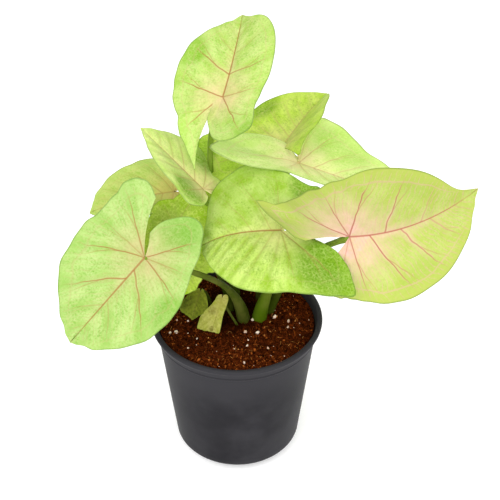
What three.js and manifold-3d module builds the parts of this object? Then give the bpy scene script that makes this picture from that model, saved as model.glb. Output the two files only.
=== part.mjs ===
// Arrowhead plant (Syngonium) growing in a black plastic nursery pot.
//
// Units are millimetres, +Z is up, and the origin is the middle of the pot's flat underside.
// -Y is the front of the plant. Every separate piece is one named mesh: the pot, the soil,
// and for each leaf its blade and its petiole, the stalk that carries it out of the soil.

import * as THREE from "three";
import { mergeVertices } from "three/addons/utils/BufferGeometryUtils.js";
import Module from "manifold-3d";

const wasm = await Module();
wasm.setup();

// ---------------------------------------------------------------- driving dimensions

const POT = {
  height: 100,
  rimRadius: 54, // outside of the rolled lip
  lipDrop: 8, // the band under the rim
  lipRound: 1.8,
  bead: 1.2, // how far a fine bead stands out just under the lip's band
  neckRadius: 50.2, // wall just under the lip
  heelRadius: 40.2, // wall just above the chamfered bottom corner
  heelHeight: 9,
  footRadius: 31.3, // flat underside
  wall: 1.4,
  chamferWall: 1.96, // at the foot of the chamfer
  floor: 3,
  sides: 48,
};
const DRAIN = {
  count: 5,
  turn: 29, // degrees from +X to the first
  radius: 24,
  hole: 4,
  slotWidth: 5,
  slotDepth: 1.6,
};
const SOIL = {
  level: 95, // at the pot's wall
  crown: 2.5, // how much higher it stands at the middle
  lump: 1.1, // height of the crumbs and clods
  rings: 13,
  sectors: 40,
};
const GAP = 0.3; // clearance between neighbouring pieces
const BLADE = {
  thickness: 0.8,
  rays: 20, // from tip to cleft, on each side of the midrib
  steps: 4, // from midrib to margin
  ripple: 0.018, // height of the margin's waves, as a share of the midrib's length
  ripples: 2.6, // waves along each half's margin
  tipward: 0.12, // how far side veins bow, as a share of their length
  cleftward: 0.22, // how far the last ones bow the other way, beside the cleft
};
const STALK = {
  sides: 8,
  steps: 9,
  buried: 14,
  shy: 0.8, // how far its end stays below the clearance under the blade
  headroom: 4, // height over the blade from which a petiole is cleared
  sheathStart: 0.12, // the stout sheath fades over this stretch of the length
  sheathEnd: 0.55,
  turnIn: 0.2, // how early it turns towards the blade, as a share of its reach
};

const COLOURS = {
  pot: 0x2f3034,
  soil: 0x5a2616,
  petiole: 0x6f9a35,
  lime: 0xa6cf4e,
  pink: 0xd3cf8a,
  shade: 0x5d8d35,
  withered: 0xc9d58a,
};

// ---------------------------------------------------------------- leaves
//
// A blade is drawn flat first. Its outline is given on each side of the midrib by the distance
// from the junction with the petiole, at these angles from the tip. The last is the edge of the
// cleft between the two basal lobes.
const OUTLINE_ANGLES = [0, 7, 20, 40, 60, 80, 100, 120, 135, 150, 163];
const JUNCTION_ANGLE = 80; // side veins at wider angles than this start at the junction

// Angles are in degrees, and lengths in millimetres.
// at: the junction. heading: of the tip, from +X towards +Y. rise: of the midrib at the junction.
// roll: about the midrib. trough: how far both halves rise from the midrib.
// tipBend: how far the midrib turns down by the tip. sweep: how far it turns sideways.
// fold: how far a half turns down by its margin. lobeBend: how far its basal lobe turns down.
// curl: how far the inner margin of the lobe turns up, where it isn't flat.
// cleft: the angle of the lobe's inner edge, where it isn't the last outline angle.
// root: where the petiole leaves the soil. thick: its radius at the soil. thin: at the blade.
// lean: how far it leans at mid height. via: the point it makes for before it turns to the blade.
// fine: the share of the usual rays and steps, on a small leaf.
const LEAVES = [
  {
    name: "top", colour: "lime",
    at: [-7.6, 28, 242.4], heading: 72, rise: 31, roll: -20, tipBend: 14, sweep: -17, trough: 14,
    right: { fold: 24, lobeBend: -30, cleft: 180, radii: [62, 59, 59, 45, 34, 28, 27, 34, 44, 42, 28] },
    left: { fold: 11, lobeBend: 23, cleft: 166, radii: [62, 56, 53, 46, 40, 36, 32, 29, 33, 37, 46] },
    root: [3.5, 19.5], thick: 3.4, thin: 1.8, lean: [-28, 30], via: [-28, 54, 205],
  },
  {
    name: "back_right", colour: "lime",
    at: [29.5, 60, 189], heading: 61, rise: 13, roll: -22, tipBend: 14, sweep: -1, trough: 25,
    right: { fold: 5, lobeBend: 25, radii: [58, 52, 45, 37, 33, 31.5, 32, 36, 22, 8, 6] },
    left: { fold: 5, lobeBend: 4, radii: [58, 55, 50, 43, 39, 36, 39, 46, 49, 45, 32] },
    root: [14, 22], thick: 2.6, thin: 1.6,
  },
  {
    name: "upper_right", colour: "lime",
    at: [38.5, 39.8, 188.5], heading: -12, rise: -15, roll: -10, tipBend: 0, sweep: 0, trough: 10,
    right: { fold: 0, lobeBend: 0, cleft: 195, curl: 9, radii: [73, 66, 54, 41, 36, 34, 34, 54, 57, 46, 32] },
    left: { fold: 0, lobeBend: 10, cleft: 115, radii: [73, 71, 66, 56, 55, 57, 53, 45, 36, 26, 17] },
    root: [20, 14], thick: 2.8, thin: 1.7,
  },
  {
    name: "right", colour: "pink",
    at: [65.6, -30.6, 184.2], heading: 12.2, rise: -6.9, roll: 26.2, tipBend: 0, sweep: -40, trough: -13,
    right: {
      fold: 25, lobeBend: 65, cleft: 138,
      radii: [86.6, 81.5, 79, 62.8, 48, 39.5, 36, 36, 37, 35, 25],
    },
    left: {
      fold: -8, lobeBend: -35, cleft: 187,
      radii: [86.6, 74.6, 69, 62, 53.8, 43.6, 36.2, 35.8, 40.5, 53, 34.8],
    },
    root: [17, 7.5], thick: 3, thin: 1.9, lean: [12, 3], via: [52, -12, 163],
  },
  {
    name: "front", colour: "lime",
    at: [26, -24, 184], heading: 179, rise: -2, roll: -24, tipBend: 60, sweep: 3.5, trough: 7,
    right: { fold: 8, lobeBend: 45, radii: [54, 53, 51, 53, 50, 42, 36.3, 34, 35.5, 33, 25] },
    left: { fold: 8, lobeBend: 0, radii: [54, 52, 47, 45, 44, 42.5, 42, 53, 59, 42, 20] },
    root: [13, 1], thick: 4.3, thin: 1.7,
  },
  {
    name: "left", colour: "lime",
    at: [-53, -32, 170], heading: 214, rise: -37, roll: -40, tipBend: 4, sweep: 0, trough: 3,
    right: { fold: 6, lobeBend: 0, cleft: 149, radii: [66, 63, 57, 51, 44, 40, 38, 41, 46, 46, 36] },
    left: { fold: 32, lobeBend: 0, cleft: 210, radii: [66, 63, 58, 50, 42, 35, 29, 34, 38, 26, 15] },
    root: [5, 4], thick: 3.6, thin: 1.8, lean: [-4, -12], via: [-10, -39, 158],
  },
  {
    name: "back_left", colour: "lime",
    at: [-39, 32, 172.5], heading: 201, rise: 5, roll: -11, tipBend: 23, sweep: 0, trough: 9,
    right: { fold: 19, lobeBend: 10, radii: [54, 50, 46, 39, 34, 33, 30, 26, 22, 18, 12] },
    left: { fold: 15, lobeBend: 10, radii: [54, 50, 42, 25, 15, 12, 11, 10, 9, 8, 7] },
    root: [-4, 14.5], thick: 2.6, thin: 1.6, lean: [-4, 12], via: [-18, 36, 165],
  },
  {
    name: "upper_left", colour: "lime",
    at: [-20, 14, 187], heading: 157, rise: 40, roll: 12, tipBend: 2, sweep: 2, trough: 13,
    right: { fold: 15, lobeBend: 10, radii: [52, 48, 43, 34, 21, 15, 17, 19, 17, 14, 9] },
    left: { fold: 9, lobeBend: 8, radii: [52, 48, 43, 39.5, 34, 32, 23, 11, 7, 5, 4] },
    root: [3, 12], thick: 2.4, thin: 1.4, lean: [-8, 0], via: [-15, 17, 165],
  },
  {
    name: "inner_left", colour: "shade",
    at: [-37, 5.5, 166.5], heading: 268, rise: -38, roll: 0, tipBend: 12, sweep: 0, trough: 8,
    right: { fold: 15, lobeBend: 10, cleft: 176, radii: [46, 43, 38, 33, 27, 19, 15.5, 14, 13.5, 13, 12] },
    left: { fold: 15, lobeBend: 10, cleft: 176, radii: [46, 44, 39.5, 37.5, 31, 25, 20, 18, 17, 15.5, 14] },
    root: [-2.5, 7.5], thick: 2.2, thin: 1.5,
  },
  {
    name: "low_left", colour: "shade", fine: 0.5,
    at: [-23, 5, 115], heading: 248, rise: -40, roll: 0, tipBend: 10, sweep: 0, trough: 5,
    right: { fold: 10, lobeBend: 10, radii: [18, 17, 15, 12, 9, 7, 6.5, 6, 6, 5, 4] },
    left: { fold: 10, lobeBend: 10, radii: [18, 17, 14, 10.5, 8, 7, 6.5, 6, 6, 5, 4] },
    root: [-14, 6], thick: 1.4, thin: 0.9,
  },
  {
    name: "low_front", colour: "withered", fine: 0.5,
    at: [-9.3, -1.4, 115], heading: 245, rise: -43, roll: 0, tipBend: 10, sweep: 0, trough: 5,
    right: { fold: 10, lobeBend: 10, radii: [22, 22.2, 20.5, 9.5, 5.4, 4, 3.5, 3.2, 3, 2.6, 2.2] },
    left: { fold: 10, lobeBend: 10, radii: [22, 22.2, 20.5, 9.5, 5.4, 4, 3.5, 3.2, 3, 2.6, 2.2] },
    root: [5.5, -5], thick: 1.2, thin: 0.8, lean: [-4, -2], via: [-6, -5, 106],
  },
];

// ---------------------------------------------------------------- solids and booleans

function closedSolid(geometry) {
  const bare = geometry.clone();
  bare.deleteAttribute("normal");
  bare.deleteAttribute("uv");
  const merged = mergeVertices(bare, 1e-4);
  return new wasm.Manifold(
    new wasm.Mesh({
      numProp: 3,
      vertProperties: new Float32Array(merged.attributes.position.array),
      triVerts: new Uint32Array(merged.index.array),
    }),
  );
}

function geometryOf(solid) {
  const mesh = solid.getMesh();
  const geometry = new THREE.BufferGeometry();
  geometry.setAttribute("position", new THREE.BufferAttribute(mesh.vertProperties, 3));
  geometry.setIndex(new THREE.BufferAttribute(mesh.triVerts, 1));
  return geometry;
}

function largestPiece(solid) {
  return solid.decompose().reduce((a, b) => (b.volume() > a.volume() ? b : a));
}

function named(name, geometry, colour, roughness) {
  const faceted = geometry.toNonIndexed();
  faceted.computeVertexNormals();
  const material = new THREE.MeshStandardMaterial({ color: colour, roughness, metalness: 0 });
  const mesh = new THREE.Mesh(faceted, material);
  mesh.name = name;
  return mesh;
}

const radians = THREE.MathUtils.degToRad;
const clamp = THREE.MathUtils.clamp;
const ORIGIN = new THREE.Vector2();

// Faces of a closed body made of rings of equal length, from the first ring's centre to the last's.
function ringedBody(rings) {
  const count = rings[0].length;
  const positions = [];
  const index = [];
  const middle = (ring) =>
    ring.reduce((sum, p) => sum.add(p), new THREE.Vector3()).divideScalar(count);
  positions.push(middle(rings[0]));
  rings.forEach((ring) => positions.push(...ring));
  positions.push(middle(rings.at(-1)));
  const at = (ring, k) => 1 + ring * count + (k % count);
  const last = positions.length - 1;
  for (let k = 0; k < count; k++) {
    index.push(0, at(0, k + 1), at(0, k));
    index.push(last, at(rings.length - 1, k), at(rings.length - 1, k + 1));
  }
  for (let ring = 0; ring < rings.length - 1; ring++) {
    for (let k = 0; k < count; k++) {
      index.push(at(ring, k), at(ring, k + 1), at(ring + 1, k + 1));
      index.push(at(ring, k), at(ring + 1, k + 1), at(ring + 1, k));
    }
  }
  const geometry = new THREE.BufferGeometry().setFromPoints(positions);
  geometry.setIndex(index);
  return geometry;
}

// ---------------------------------------------------------------- pot

// Radius of the outside of the wall at a height. Its bottom corner is a bowed chamfer.
function outerRadius(z) {
  const { neckRadius, heelRadius, heelHeight, footRadius, height, lipDrop } = POT;
  const drop = 1 - Math.min(1, z / heelHeight);
  const slope = (neckRadius - heelRadius) / (height - lipDrop - heelHeight);
  const taper = slope * Math.max(0, z - heelHeight);
  return heelRadius + taper - (heelRadius - footRadius) * drop ** 1.5;
}

// Radius of the inside of the wall, which is a little thicker along the chamfer.
function innerRadius(z) {
  const drop = 1 - Math.min(1, z / POT.heelHeight);
  return outerRadius(z) - POT.wall - (POT.chamferWall - POT.wall) * drop;
}

function potProfile() {
  const { height, rimRadius, lipDrop, lipRound, bead, neckRadius, heelHeight, floor } = POT;
  const neck = height - lipDrop;
  const points = [[0, 0]];
  for (let k = 0; k <= 4; k++) {
    const z = (heelHeight * k) / 4;
    points.push([outerRadius(z), z]);
  }
  points.push([outerRadius(neck - 2), neck - 2]);
  points.push([neckRadius + bead, neck - 1]);
  points.push([neckRadius + bead, neck]);
  for (let k = 0; k <= 5; k++) {
    const turn = ((k - 1) * Math.PI) / 4;
    const x = rimRadius - lipRound + lipRound * Math.cos(turn);
    points.push([x, height - lipRound + lipRound * Math.sin(turn)]);
  }
  points.push([innerRadius(neck), neck]);
  for (let k = 0; k <= 3; k++) {
    const z = heelHeight - ((heelHeight - floor) * k) / 3;
    points.push([innerRadius(z), z]);
  }
  points.push([0, floor]);
  return points;
}

// The wall and lip are turned. Drain holes pierce the floor, each in a slot to the edge.
function buildPot() {
  const profile = potProfile().map(([x, y]) => new THREE.Vector2(x, y));
  const turned = new THREE.LatheGeometry(profile, POT.sides).rotateX(Math.PI / 2);
  let pot = closedSolid(turned);
  const slotLength = POT.heelRadius - DRAIN.radius;
  for (let k = 0; k < DRAIN.count; k++) {
    const turn = radians(DRAIN.turn) + (k / DRAIN.count) * 2 * Math.PI;
    const hole = new THREE.CylinderGeometry(DRAIN.hole, DRAIN.hole, 4 * POT.floor, 16)
      .rotateX(Math.PI / 2)
      .translate(DRAIN.radius, 0, 0)
      .rotateZ(turn);
    const slot = new THREE.BoxGeometry(slotLength, DRAIN.slotWidth, 2 * DRAIN.slotDepth)
      .translate(DRAIN.radius + slotLength / 2, 0, 0)
      .rotateZ(turn);
    pot = pot.subtract(closedSolid(hole)).subtract(closedSolid(slot));
  }
  return pot;
}

// ---------------------------------------------------------------- soil

// Crumbs and clods: four crossed waves of unlike lengths.
function crumble(x, y) {
  return (
    0.34 * Math.sin(0.83 * x + 0.31 * y) * Math.cos(0.27 * x - 0.71 * y) +
    0.33 * Math.sin(1.37 * y - 0.52 * x + 1.3) +
    0.33 * Math.cos(1.21 * x + 0.94 * y + 0.6)
  );
}

function soilHeight(x, y, edge) {
  const inward = 1 - (x * x + y * y) / (edge * edge);
  return SOIL.level + SOIL.crown * inward + SOIL.lump * Math.min(1, 4 * inward) * crumble(x, y);
}

function buildSoil() {
  const inscribed = Math.cos(Math.PI / POT.sides);
  const reach = (z) => innerRadius(z) * inscribed - GAP;
  const circle = (radius, height) => {
    const ring = [];
    for (let k = 0; k < SOIL.sectors; k++) {
      const turn = (k / SOIL.sectors) * 2 * Math.PI;
      const x = radius * Math.cos(turn);
      const y = radius * Math.sin(turn);
      ring.push(new THREE.Vector3(x, y, height(x, y)));
    }
    return ring;
  };
  const base = POT.floor + GAP;
  const rings = [];
  for (let k = 0; k <= 4; k++) {
    const z = base + ((POT.heelHeight + 1 - base) * k) / 4;
    rings.push(circle(reach(z - GAP), () => z));
  }
  const edge = reach(SOIL.level);
  for (let k = 0; k < SOIL.rings; k++) {
    const radius = edge * (1 - k / SOIL.rings);
    rings.push(circle(radius, (x, y) => soilHeight(x, y, edge)));
  }
  return closedSolid(ringedBody(rings));
}

// ---------------------------------------------------------------- blades

// How far a strip that bends down steadily faster reaches: along, down, and its final slope.
function bentStrip(length, full, angle, power) {
  const slices = 24;
  const slope = (d) => angle * (d / full) ** power;
  let along = 0;
  let down = 0;
  for (let k = 0; k < slices; k++) {
    const middle = slope(((k + 0.5) * length) / slices);
    along += (Math.cos(middle) * length) / slices;
    down += (Math.sin(middle) * length) / slices;
  }
  return { along, down, slope: slope(length) };
}

// Places a flat point of one half. x runs out from the midrib, y from the junction to the tip,
// and raised is its height over the smooth surface.
function bendPoint(leaf, half, side, x, y, raised) {
  const length = half.radii[0];
  const halfWidth = 0.6 * length;
  const curl = radians(half.fold) / halfWidth || 1e-6;
  const start = -radians(leaf.trough);
  const across = (Math.sin(start + curl * x) - Math.sin(start)) / curl;
  const lift = raised + (Math.cos(start + curl * x) - Math.cos(start)) / curl;
  const forward = y >= 0;
  const strip = forward
    ? bentStrip(y, length, radians(leaf.tipBend), 1.5)
    : bentStrip(-y, halfWidth, radians(half.lobeBend), 1);
  const slope = forward ? strip.slope : -strip.slope;
  const along = forward ? strip.along : -strip.along;
  const sideways = forward ? (radians(leaf.sweep) * y * y) / length / 2 : 0;
  return new THREE.Vector3(
    side * across + sideways,
    along + lift * Math.sin(slope),
    lift * Math.cos(slope) - strip.down,
  );
}

// The blade's own axes: X to its right, Y along the midrib, Z out of its upper face.
function leafFrame(leaf) {
  const heading = radians(leaf.heading);
  const rise = radians(leaf.rise);
  const forward = new THREE.Vector3(
    Math.cos(heading) * Math.cos(rise),
    Math.sin(heading) * Math.cos(rise),
    Math.sin(rise),
  );
  const level = new THREE.Vector3(Math.sin(heading), -Math.cos(heading), 0);
  const right = level.clone().applyAxisAngle(forward, radians(leaf.roll));
  const up = right.clone().cross(forward);
  return new THREE.Matrix4().makeBasis(right, forward, up).setPosition(...leaf.at);
}

// Where on the midrib each ray of either half starts, as a share of its length.
const ANGLE_CURVE = new THREE.SplineCurve(
  OUTLINE_ANGLES.map((angle) => new THREE.Vector2(angle, 0)),
);
const midribShare = (t) => Math.max(0, 1 - ANGLE_CURVE.getPoint(t).x / JUNCTION_ANGLE) ** 1.3;

// The outline's angles, with those of the basal lobe spread to a half's own cleft.
function outlineAngles(half) {
  const last = OUTLINE_ANGLES.at(-1);
  const spread = ((half.cleft ?? last) - JUNCTION_ANGLE) / (last - JUNCTION_ANGLE);
  return OUTLINE_ANGLES.map((angle) => angle + (spread - 1) * Math.max(0, angle - JUNCTION_ANGLE));
}

// One half, flat: rays that leave the midrib, or the junction, and end on the outline. The margin
// ripples gently up and down, and may turn up beside the cleft.
function flatRays(half, fine) {
  const rays = BLADE.rays * fine;
  const steps = BLADE.steps * fine;
  const radii = half.radii;
  const angles = outlineAngles(half);
  const outline = new THREE.SplineCurve(
    radii.map((radius, k) => new THREE.Vector2(angles[k], radius)),
  );
  const grid = [];
  for (let i = 0; i <= rays; i++) {
    const { x: angle, y: radius } = outline.getPoint(i / rays);
    const edge = new THREE.Vector2(0, radius).rotateAround(ORIGIN, -radians(angle));
    const station = radii[0] * midribShare(i / rays);
    const start = new THREE.Vector2(0, station);
    const run = edge.clone().sub(start);
    const towardTip = new THREE.Vector2(-run.y, run.x);
    const cleft = clamp((i / rays - 0.8) / 0.2, 0, 1);
    const ahead = clamp(2 * (edge.y / radii[0] + 0.3), 0, 1);
    const bow = BLADE.cleftward * cleft - BLADE.tipward * ahead;
    const swell = BLADE.ripple * radii[0] * THREE.MathUtils.smoothstep(i / rays, 0, 0.15);
    const wave = swell * Math.sin(2 * Math.PI * BLADE.ripples * (i / rays) + half.radii[3]);
    const curl = (half.curl ?? 0) * THREE.MathUtils.smoothstep(i / rays, 0.78, 0.98);
    const ray = [];
    for (let j = 0; j <= steps; j++) {
      const s = j / steps;
      const flat = start.clone().addScaledVector(run, s);
      flat.addScaledVector(towardTip, bow * s * (1 - s));
      ray.push({ x: flat.x, y: flat.y, raised: wave * s ** 3 + curl * s ** 2 });
    }
    grid.push({ station, ray });
  }
  return grid;
}

// The middle surface of a blade as points and triangles, in the plant's frame.
function bladeSurface(leaf) {
  const points = [];
  const index = new Map();
  const triangles = [];
  const frame = leafFrame(leaf);
  const fine = leaf.fine ?? 1;
  const vertex = (key, half, side, { x, y, raised }) => {
    if (!index.has(key)) {
      index.set(key, points.length);
      points.push(bendPoint(leaf, half, side, x, y, raised).applyMatrix4(frame));
    }
    return index.get(key);
  };
  for (const [half, side] of [[leaf.right, 1], [leaf.left, -1]]) {
    const grid = flatRays(half, fine);
    const at = (i, j) => {
      if (i === 0) return vertex("tip", half, side, { x: 0, y: half.radii[0], raised: 0 });
      const { station, ray } = grid[i];
      if (j === 0) return vertex("midrib " + station.toFixed(3), half, side, ray[0]);
      return vertex([side, i, j].join(), half, side, ray[j]);
    };
    const add = (a, b, c) => {
      if (a === b || b === c || c === a) return;
      triangles.push(side > 0 ? [a, b, c] : [a, c, b]);
    };
    for (let i = 0; i < BLADE.rays * fine; i++) {
      for (let j = 0; j < BLADE.steps * fine; j++) {
        add(at(i, j), at(i + 1, j), at(i + 1, j + 1));
        add(at(i, j), at(i + 1, j + 1), at(i, j + 1));
      }
    }
  }
  return { points, triangles };
}

// A closed sheet over a surface, from one height below it to another above it.
function sheet({ points, triangles }, below, above) {
  const normals = points.map(() => new THREE.Vector3());
  for (const [a, b, c] of triangles) {
    const edge = points[b].clone().sub(points[a]);
    const face = edge.cross(points[c].clone().sub(points[a]));
    for (const k of [a, b, c]) normals[k].add(face);
  }
  const offset = (height) => points.map((p, k) => p.clone().addScaledVector(normals[k], height));
  normals.forEach((n) => n.normalize());
  const positions = [...offset(above), ...offset(-below)];
  const count = points.length;
  const index = [];
  const open = new Set(triangles.flatMap(([a, b, c]) => [[a, b], [b, c], [c, a]]).map(String));
  for (const [a, b, c] of triangles) {
    index.push(a, b, c, count + a, count + c, count + b);
    for (const [from, to] of [[a, b], [b, c], [c, a]]) {
      if (open.has(String([to, from]))) continue;
      index.push(to, from, count + from, to, count + from, count + to);
    }
  }
  const geometry = new THREE.BufferGeometry().setFromPoints(positions);
  geometry.setIndex(index);
  return geometry;
}

// ---------------------------------------------------------------- petioles

// Rises out of the soil and arrives at the junction from below and behind the blade.
function stalkCurve(leaf) {
  const frame = leafFrame(leaf);
  const forward = new THREE.Vector3().setFromMatrixColumn(frame, 1);
  const up = new THREE.Vector3().setFromMatrixColumn(frame, 2);
  const belowBlade = BLADE.thickness / 2 + GAP + STALK.shy;
  const end = new THREE.Vector3(...leaf.at).addScaledVector(up, -belowBlade);
  const [x, y] = leaf.root;
  const start = new THREE.Vector3(x, y, SOIL.level - STALK.buried);
  const reach = end.distanceTo(start);
  const [leanX, leanY] = leaf.lean ?? [0, 0];
  const rising = new THREE.Vector3(x + leanX, y + leanY, start.z + 0.5 * reach);
  const turnIn = -STALK.turnIn * reach;
  const beneath = end.clone().addScaledVector(up, turnIn).addScaledVector(forward, turnIn);
  const arriving = leaf.via ? new THREE.Vector3(...leaf.via) : beneath;
  return new THREE.CubicBezierCurve3(start, rising, arriving, end);
}

function stalk(leaf, extra) {
  const curve = stalkCurve(leaf);
  const frames = curve.computeFrenetFrames(STALK.steps);
  const rings = [];
  for (let i = 0; i <= STALK.steps; i++) {
    const t = i / STALK.steps;
    const sheath = 1 - THREE.MathUtils.smoothstep(t, STALK.sheathStart, STALK.sheathEnd);
    const radius = leaf.thin + (leaf.thick - leaf.thin) * sheath + extra;
    const centre = curve.getPointAt(t);
    if (i === 0) centre.z -= extra;
    const ring = [];
    for (let k = 0; k < STALK.sides; k++) {
      const turn = (k / STALK.sides) * 2 * Math.PI;
      ring.push(
        centre
          .clone()
          .addScaledVector(frames.normals[i], radius * Math.cos(turn))
          .addScaledVector(frames.binormals[i], radius * Math.sin(turn)),
      );
    }
    rings.push(ring);
  }
  return closedSolid(ringedBody(rings));
}

// ---------------------------------------------------------------- the plant

const plant = new THREE.Group();
plant.add(named("pot", geometryOf(buildPot()), COLOURS.pot, 0.45));

let soil = buildSoil();
for (const leaf of LEAVES) {
  const surface = bladeSurface(leaf);
  const blade = sheet(surface, BLADE.thickness / 2, BLADE.thickness / 2);
  plant.add(named(leaf.name + "_blade", blade, COLOURS[leaf.colour], 0.5));
  const room = closedSolid(sheet(surface, BLADE.thickness / 2 + GAP, STALK.headroom));
  const petiole = largestPiece(stalk(leaf, 0).subtract(room));
  plant.add(named(leaf.name + "_petiole", geometryOf(petiole), COLOURS.petiole, 0.5));
  soil = soil.subtract(stalk(leaf, GAP));
}
plant.add(named("soil", geometryOf(largestPiece(soil)), COLOURS.soil, 1));

export default plant;
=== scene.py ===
"""An arrowhead plant in its nursery pot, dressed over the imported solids, as an add-on."""

import math
import random

import bpy
import numpy as np
from mathutils import Matrix, Vector


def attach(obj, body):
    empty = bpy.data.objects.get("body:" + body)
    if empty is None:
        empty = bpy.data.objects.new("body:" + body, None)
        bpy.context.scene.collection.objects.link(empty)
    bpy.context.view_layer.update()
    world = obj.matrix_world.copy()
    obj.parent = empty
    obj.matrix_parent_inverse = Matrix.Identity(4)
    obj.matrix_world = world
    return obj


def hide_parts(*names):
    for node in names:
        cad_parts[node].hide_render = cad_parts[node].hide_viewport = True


bl_info = {
    "name": "Arrowhead Plant",
    "version": (1, 0, 0),
    "blender": (4, 5, 0),
    "location": "View3D > Sidebar > Plant",
    "description": "Builds an arrowhead plant, its soil and its nursery pot",
    "category": "Add Mesh",
}

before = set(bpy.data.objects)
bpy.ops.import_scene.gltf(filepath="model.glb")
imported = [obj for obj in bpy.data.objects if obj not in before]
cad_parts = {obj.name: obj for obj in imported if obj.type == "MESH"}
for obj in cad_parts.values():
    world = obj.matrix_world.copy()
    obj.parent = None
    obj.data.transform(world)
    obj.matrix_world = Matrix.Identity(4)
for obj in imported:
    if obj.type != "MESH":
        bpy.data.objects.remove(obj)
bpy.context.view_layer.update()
MM = 0.001

# ---------------------------------------------------------------- sizes and colours to change


def int_prop(name, description, default):
    return bpy.props.IntProperty(name=name, description=description, default=default, min=0)


def length_prop(name, description, default):
    return bpy.props.FloatProperty(
        name=name, description=description, default=default, subtype="DISTANCE", unit="LENGTH"
    )


def colour_prop(name, description, default):
    return bpy.props.FloatVectorProperty(
        name=name, description=description, default=default, subtype="COLOR", size=3
    )


class PotSettings(bpy.types.PropertyGroup):
    segments: int_prop("Segments", "Faces round the pot", 120)
    lip_round: length_prop("Lip round", "Radius of the rolled lip", 1.8 * MM)
    plastic: colour_prop("Plastic", "Colour of the pot's plastic", (0.0128, 0.0122, 0.0146))


class SoilSettings(bpy.types.PropertyGroup):
    crumbs: int_prop("Crumbs", "Loose crumbs of coconut peat", 4600)
    fibres: int_prop("Fibres", "Coconut fibres on the surface", 1500)
    perlite: int_prop("Perlite", "Small white grains besides the large ones", 26)
    dark_peat_and_shade: colour_prop("Damp peat", "Colour of the peat between the crumbs", (0.010, 0.0022, 0.0006))
    dry: colour_prop("Dry peat", "Colour of the crumbs that catch the light", (0.14, 0.026, 0.005))


class FoliageSettings(bpy.types.PropertyGroup):
    rays: int_prop("Rays", "Mesh rays from tip to cleft on each half of a blade", 108)
    steps: int_prop("Steps", "Mesh steps from midrib to margin", 30)
    thickness: length_prop("Thickness", "Thickness of the blade between its veins", 0.42 * MM)
    keel: length_prop("Keel", "Thickness at the foot of the midrib", 1.5 * MM)
    sides: int_prop("Sides", "Faces round a petiole", 16)


class StageSettings(bpy.types.PropertyGroup):
    floor: colour_prop("Floor", "Colour of the floor", (0.93, 0.93, 0.93))
    sky: bpy.props.FloatProperty(
        name="Sky", description="Strength of the light from all round", default=0.80
    )
    key: bpy.props.FloatProperty(
        name="Key", description="Power of the large soft lamp", default=11.0, unit="POWER"
    )


# ---------------------------------------------------------------- leaves
#
# Lengths are in millimetres and angles in degrees, as in the part's own source.
# at: junction of blade and petiole. aim: heading, rise, roll. bend: tip, sideways sweep, trough.
# A half holds its fold, its lobe's bend, its cleft's angle and its outline's radii at OUTLINE. The
# first radii also set its length and the phases of its waves, so a half that has an outline of its
# own, in angles with radii, keeps six of them. Veins of its own give (share of the midrib, angle,
# strength) and, for those from the junction, (angle, strength). lap: how a basal lobe lifts over
# its neighbour: from where, how steeply, and how far back it starts and is full.
# shades: flat place and size of up to two darker patches, painted shade where a blade lies in
# shadow or curves away from the light, and on the withered leaf its brown spots.
# stalk: foot on the soil, radius at the foot, radius at the blade. lean and via steer its curve.

OUTLINE, SHOULDER = (0, 7, 20, 40, 60, 80, 100, 120, 135, 150, 163), 80
SIDE_VEINS = ((0.84, 5, 0.2), (0.66, 12, 0.3), (0.48, 21, 0.45), (0.30, 31, 0.6), (0.13, 44, 0.8))
LOBE_VEINS = ((67, 0.8), (100, 0.45), (132, 0.9))

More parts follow.
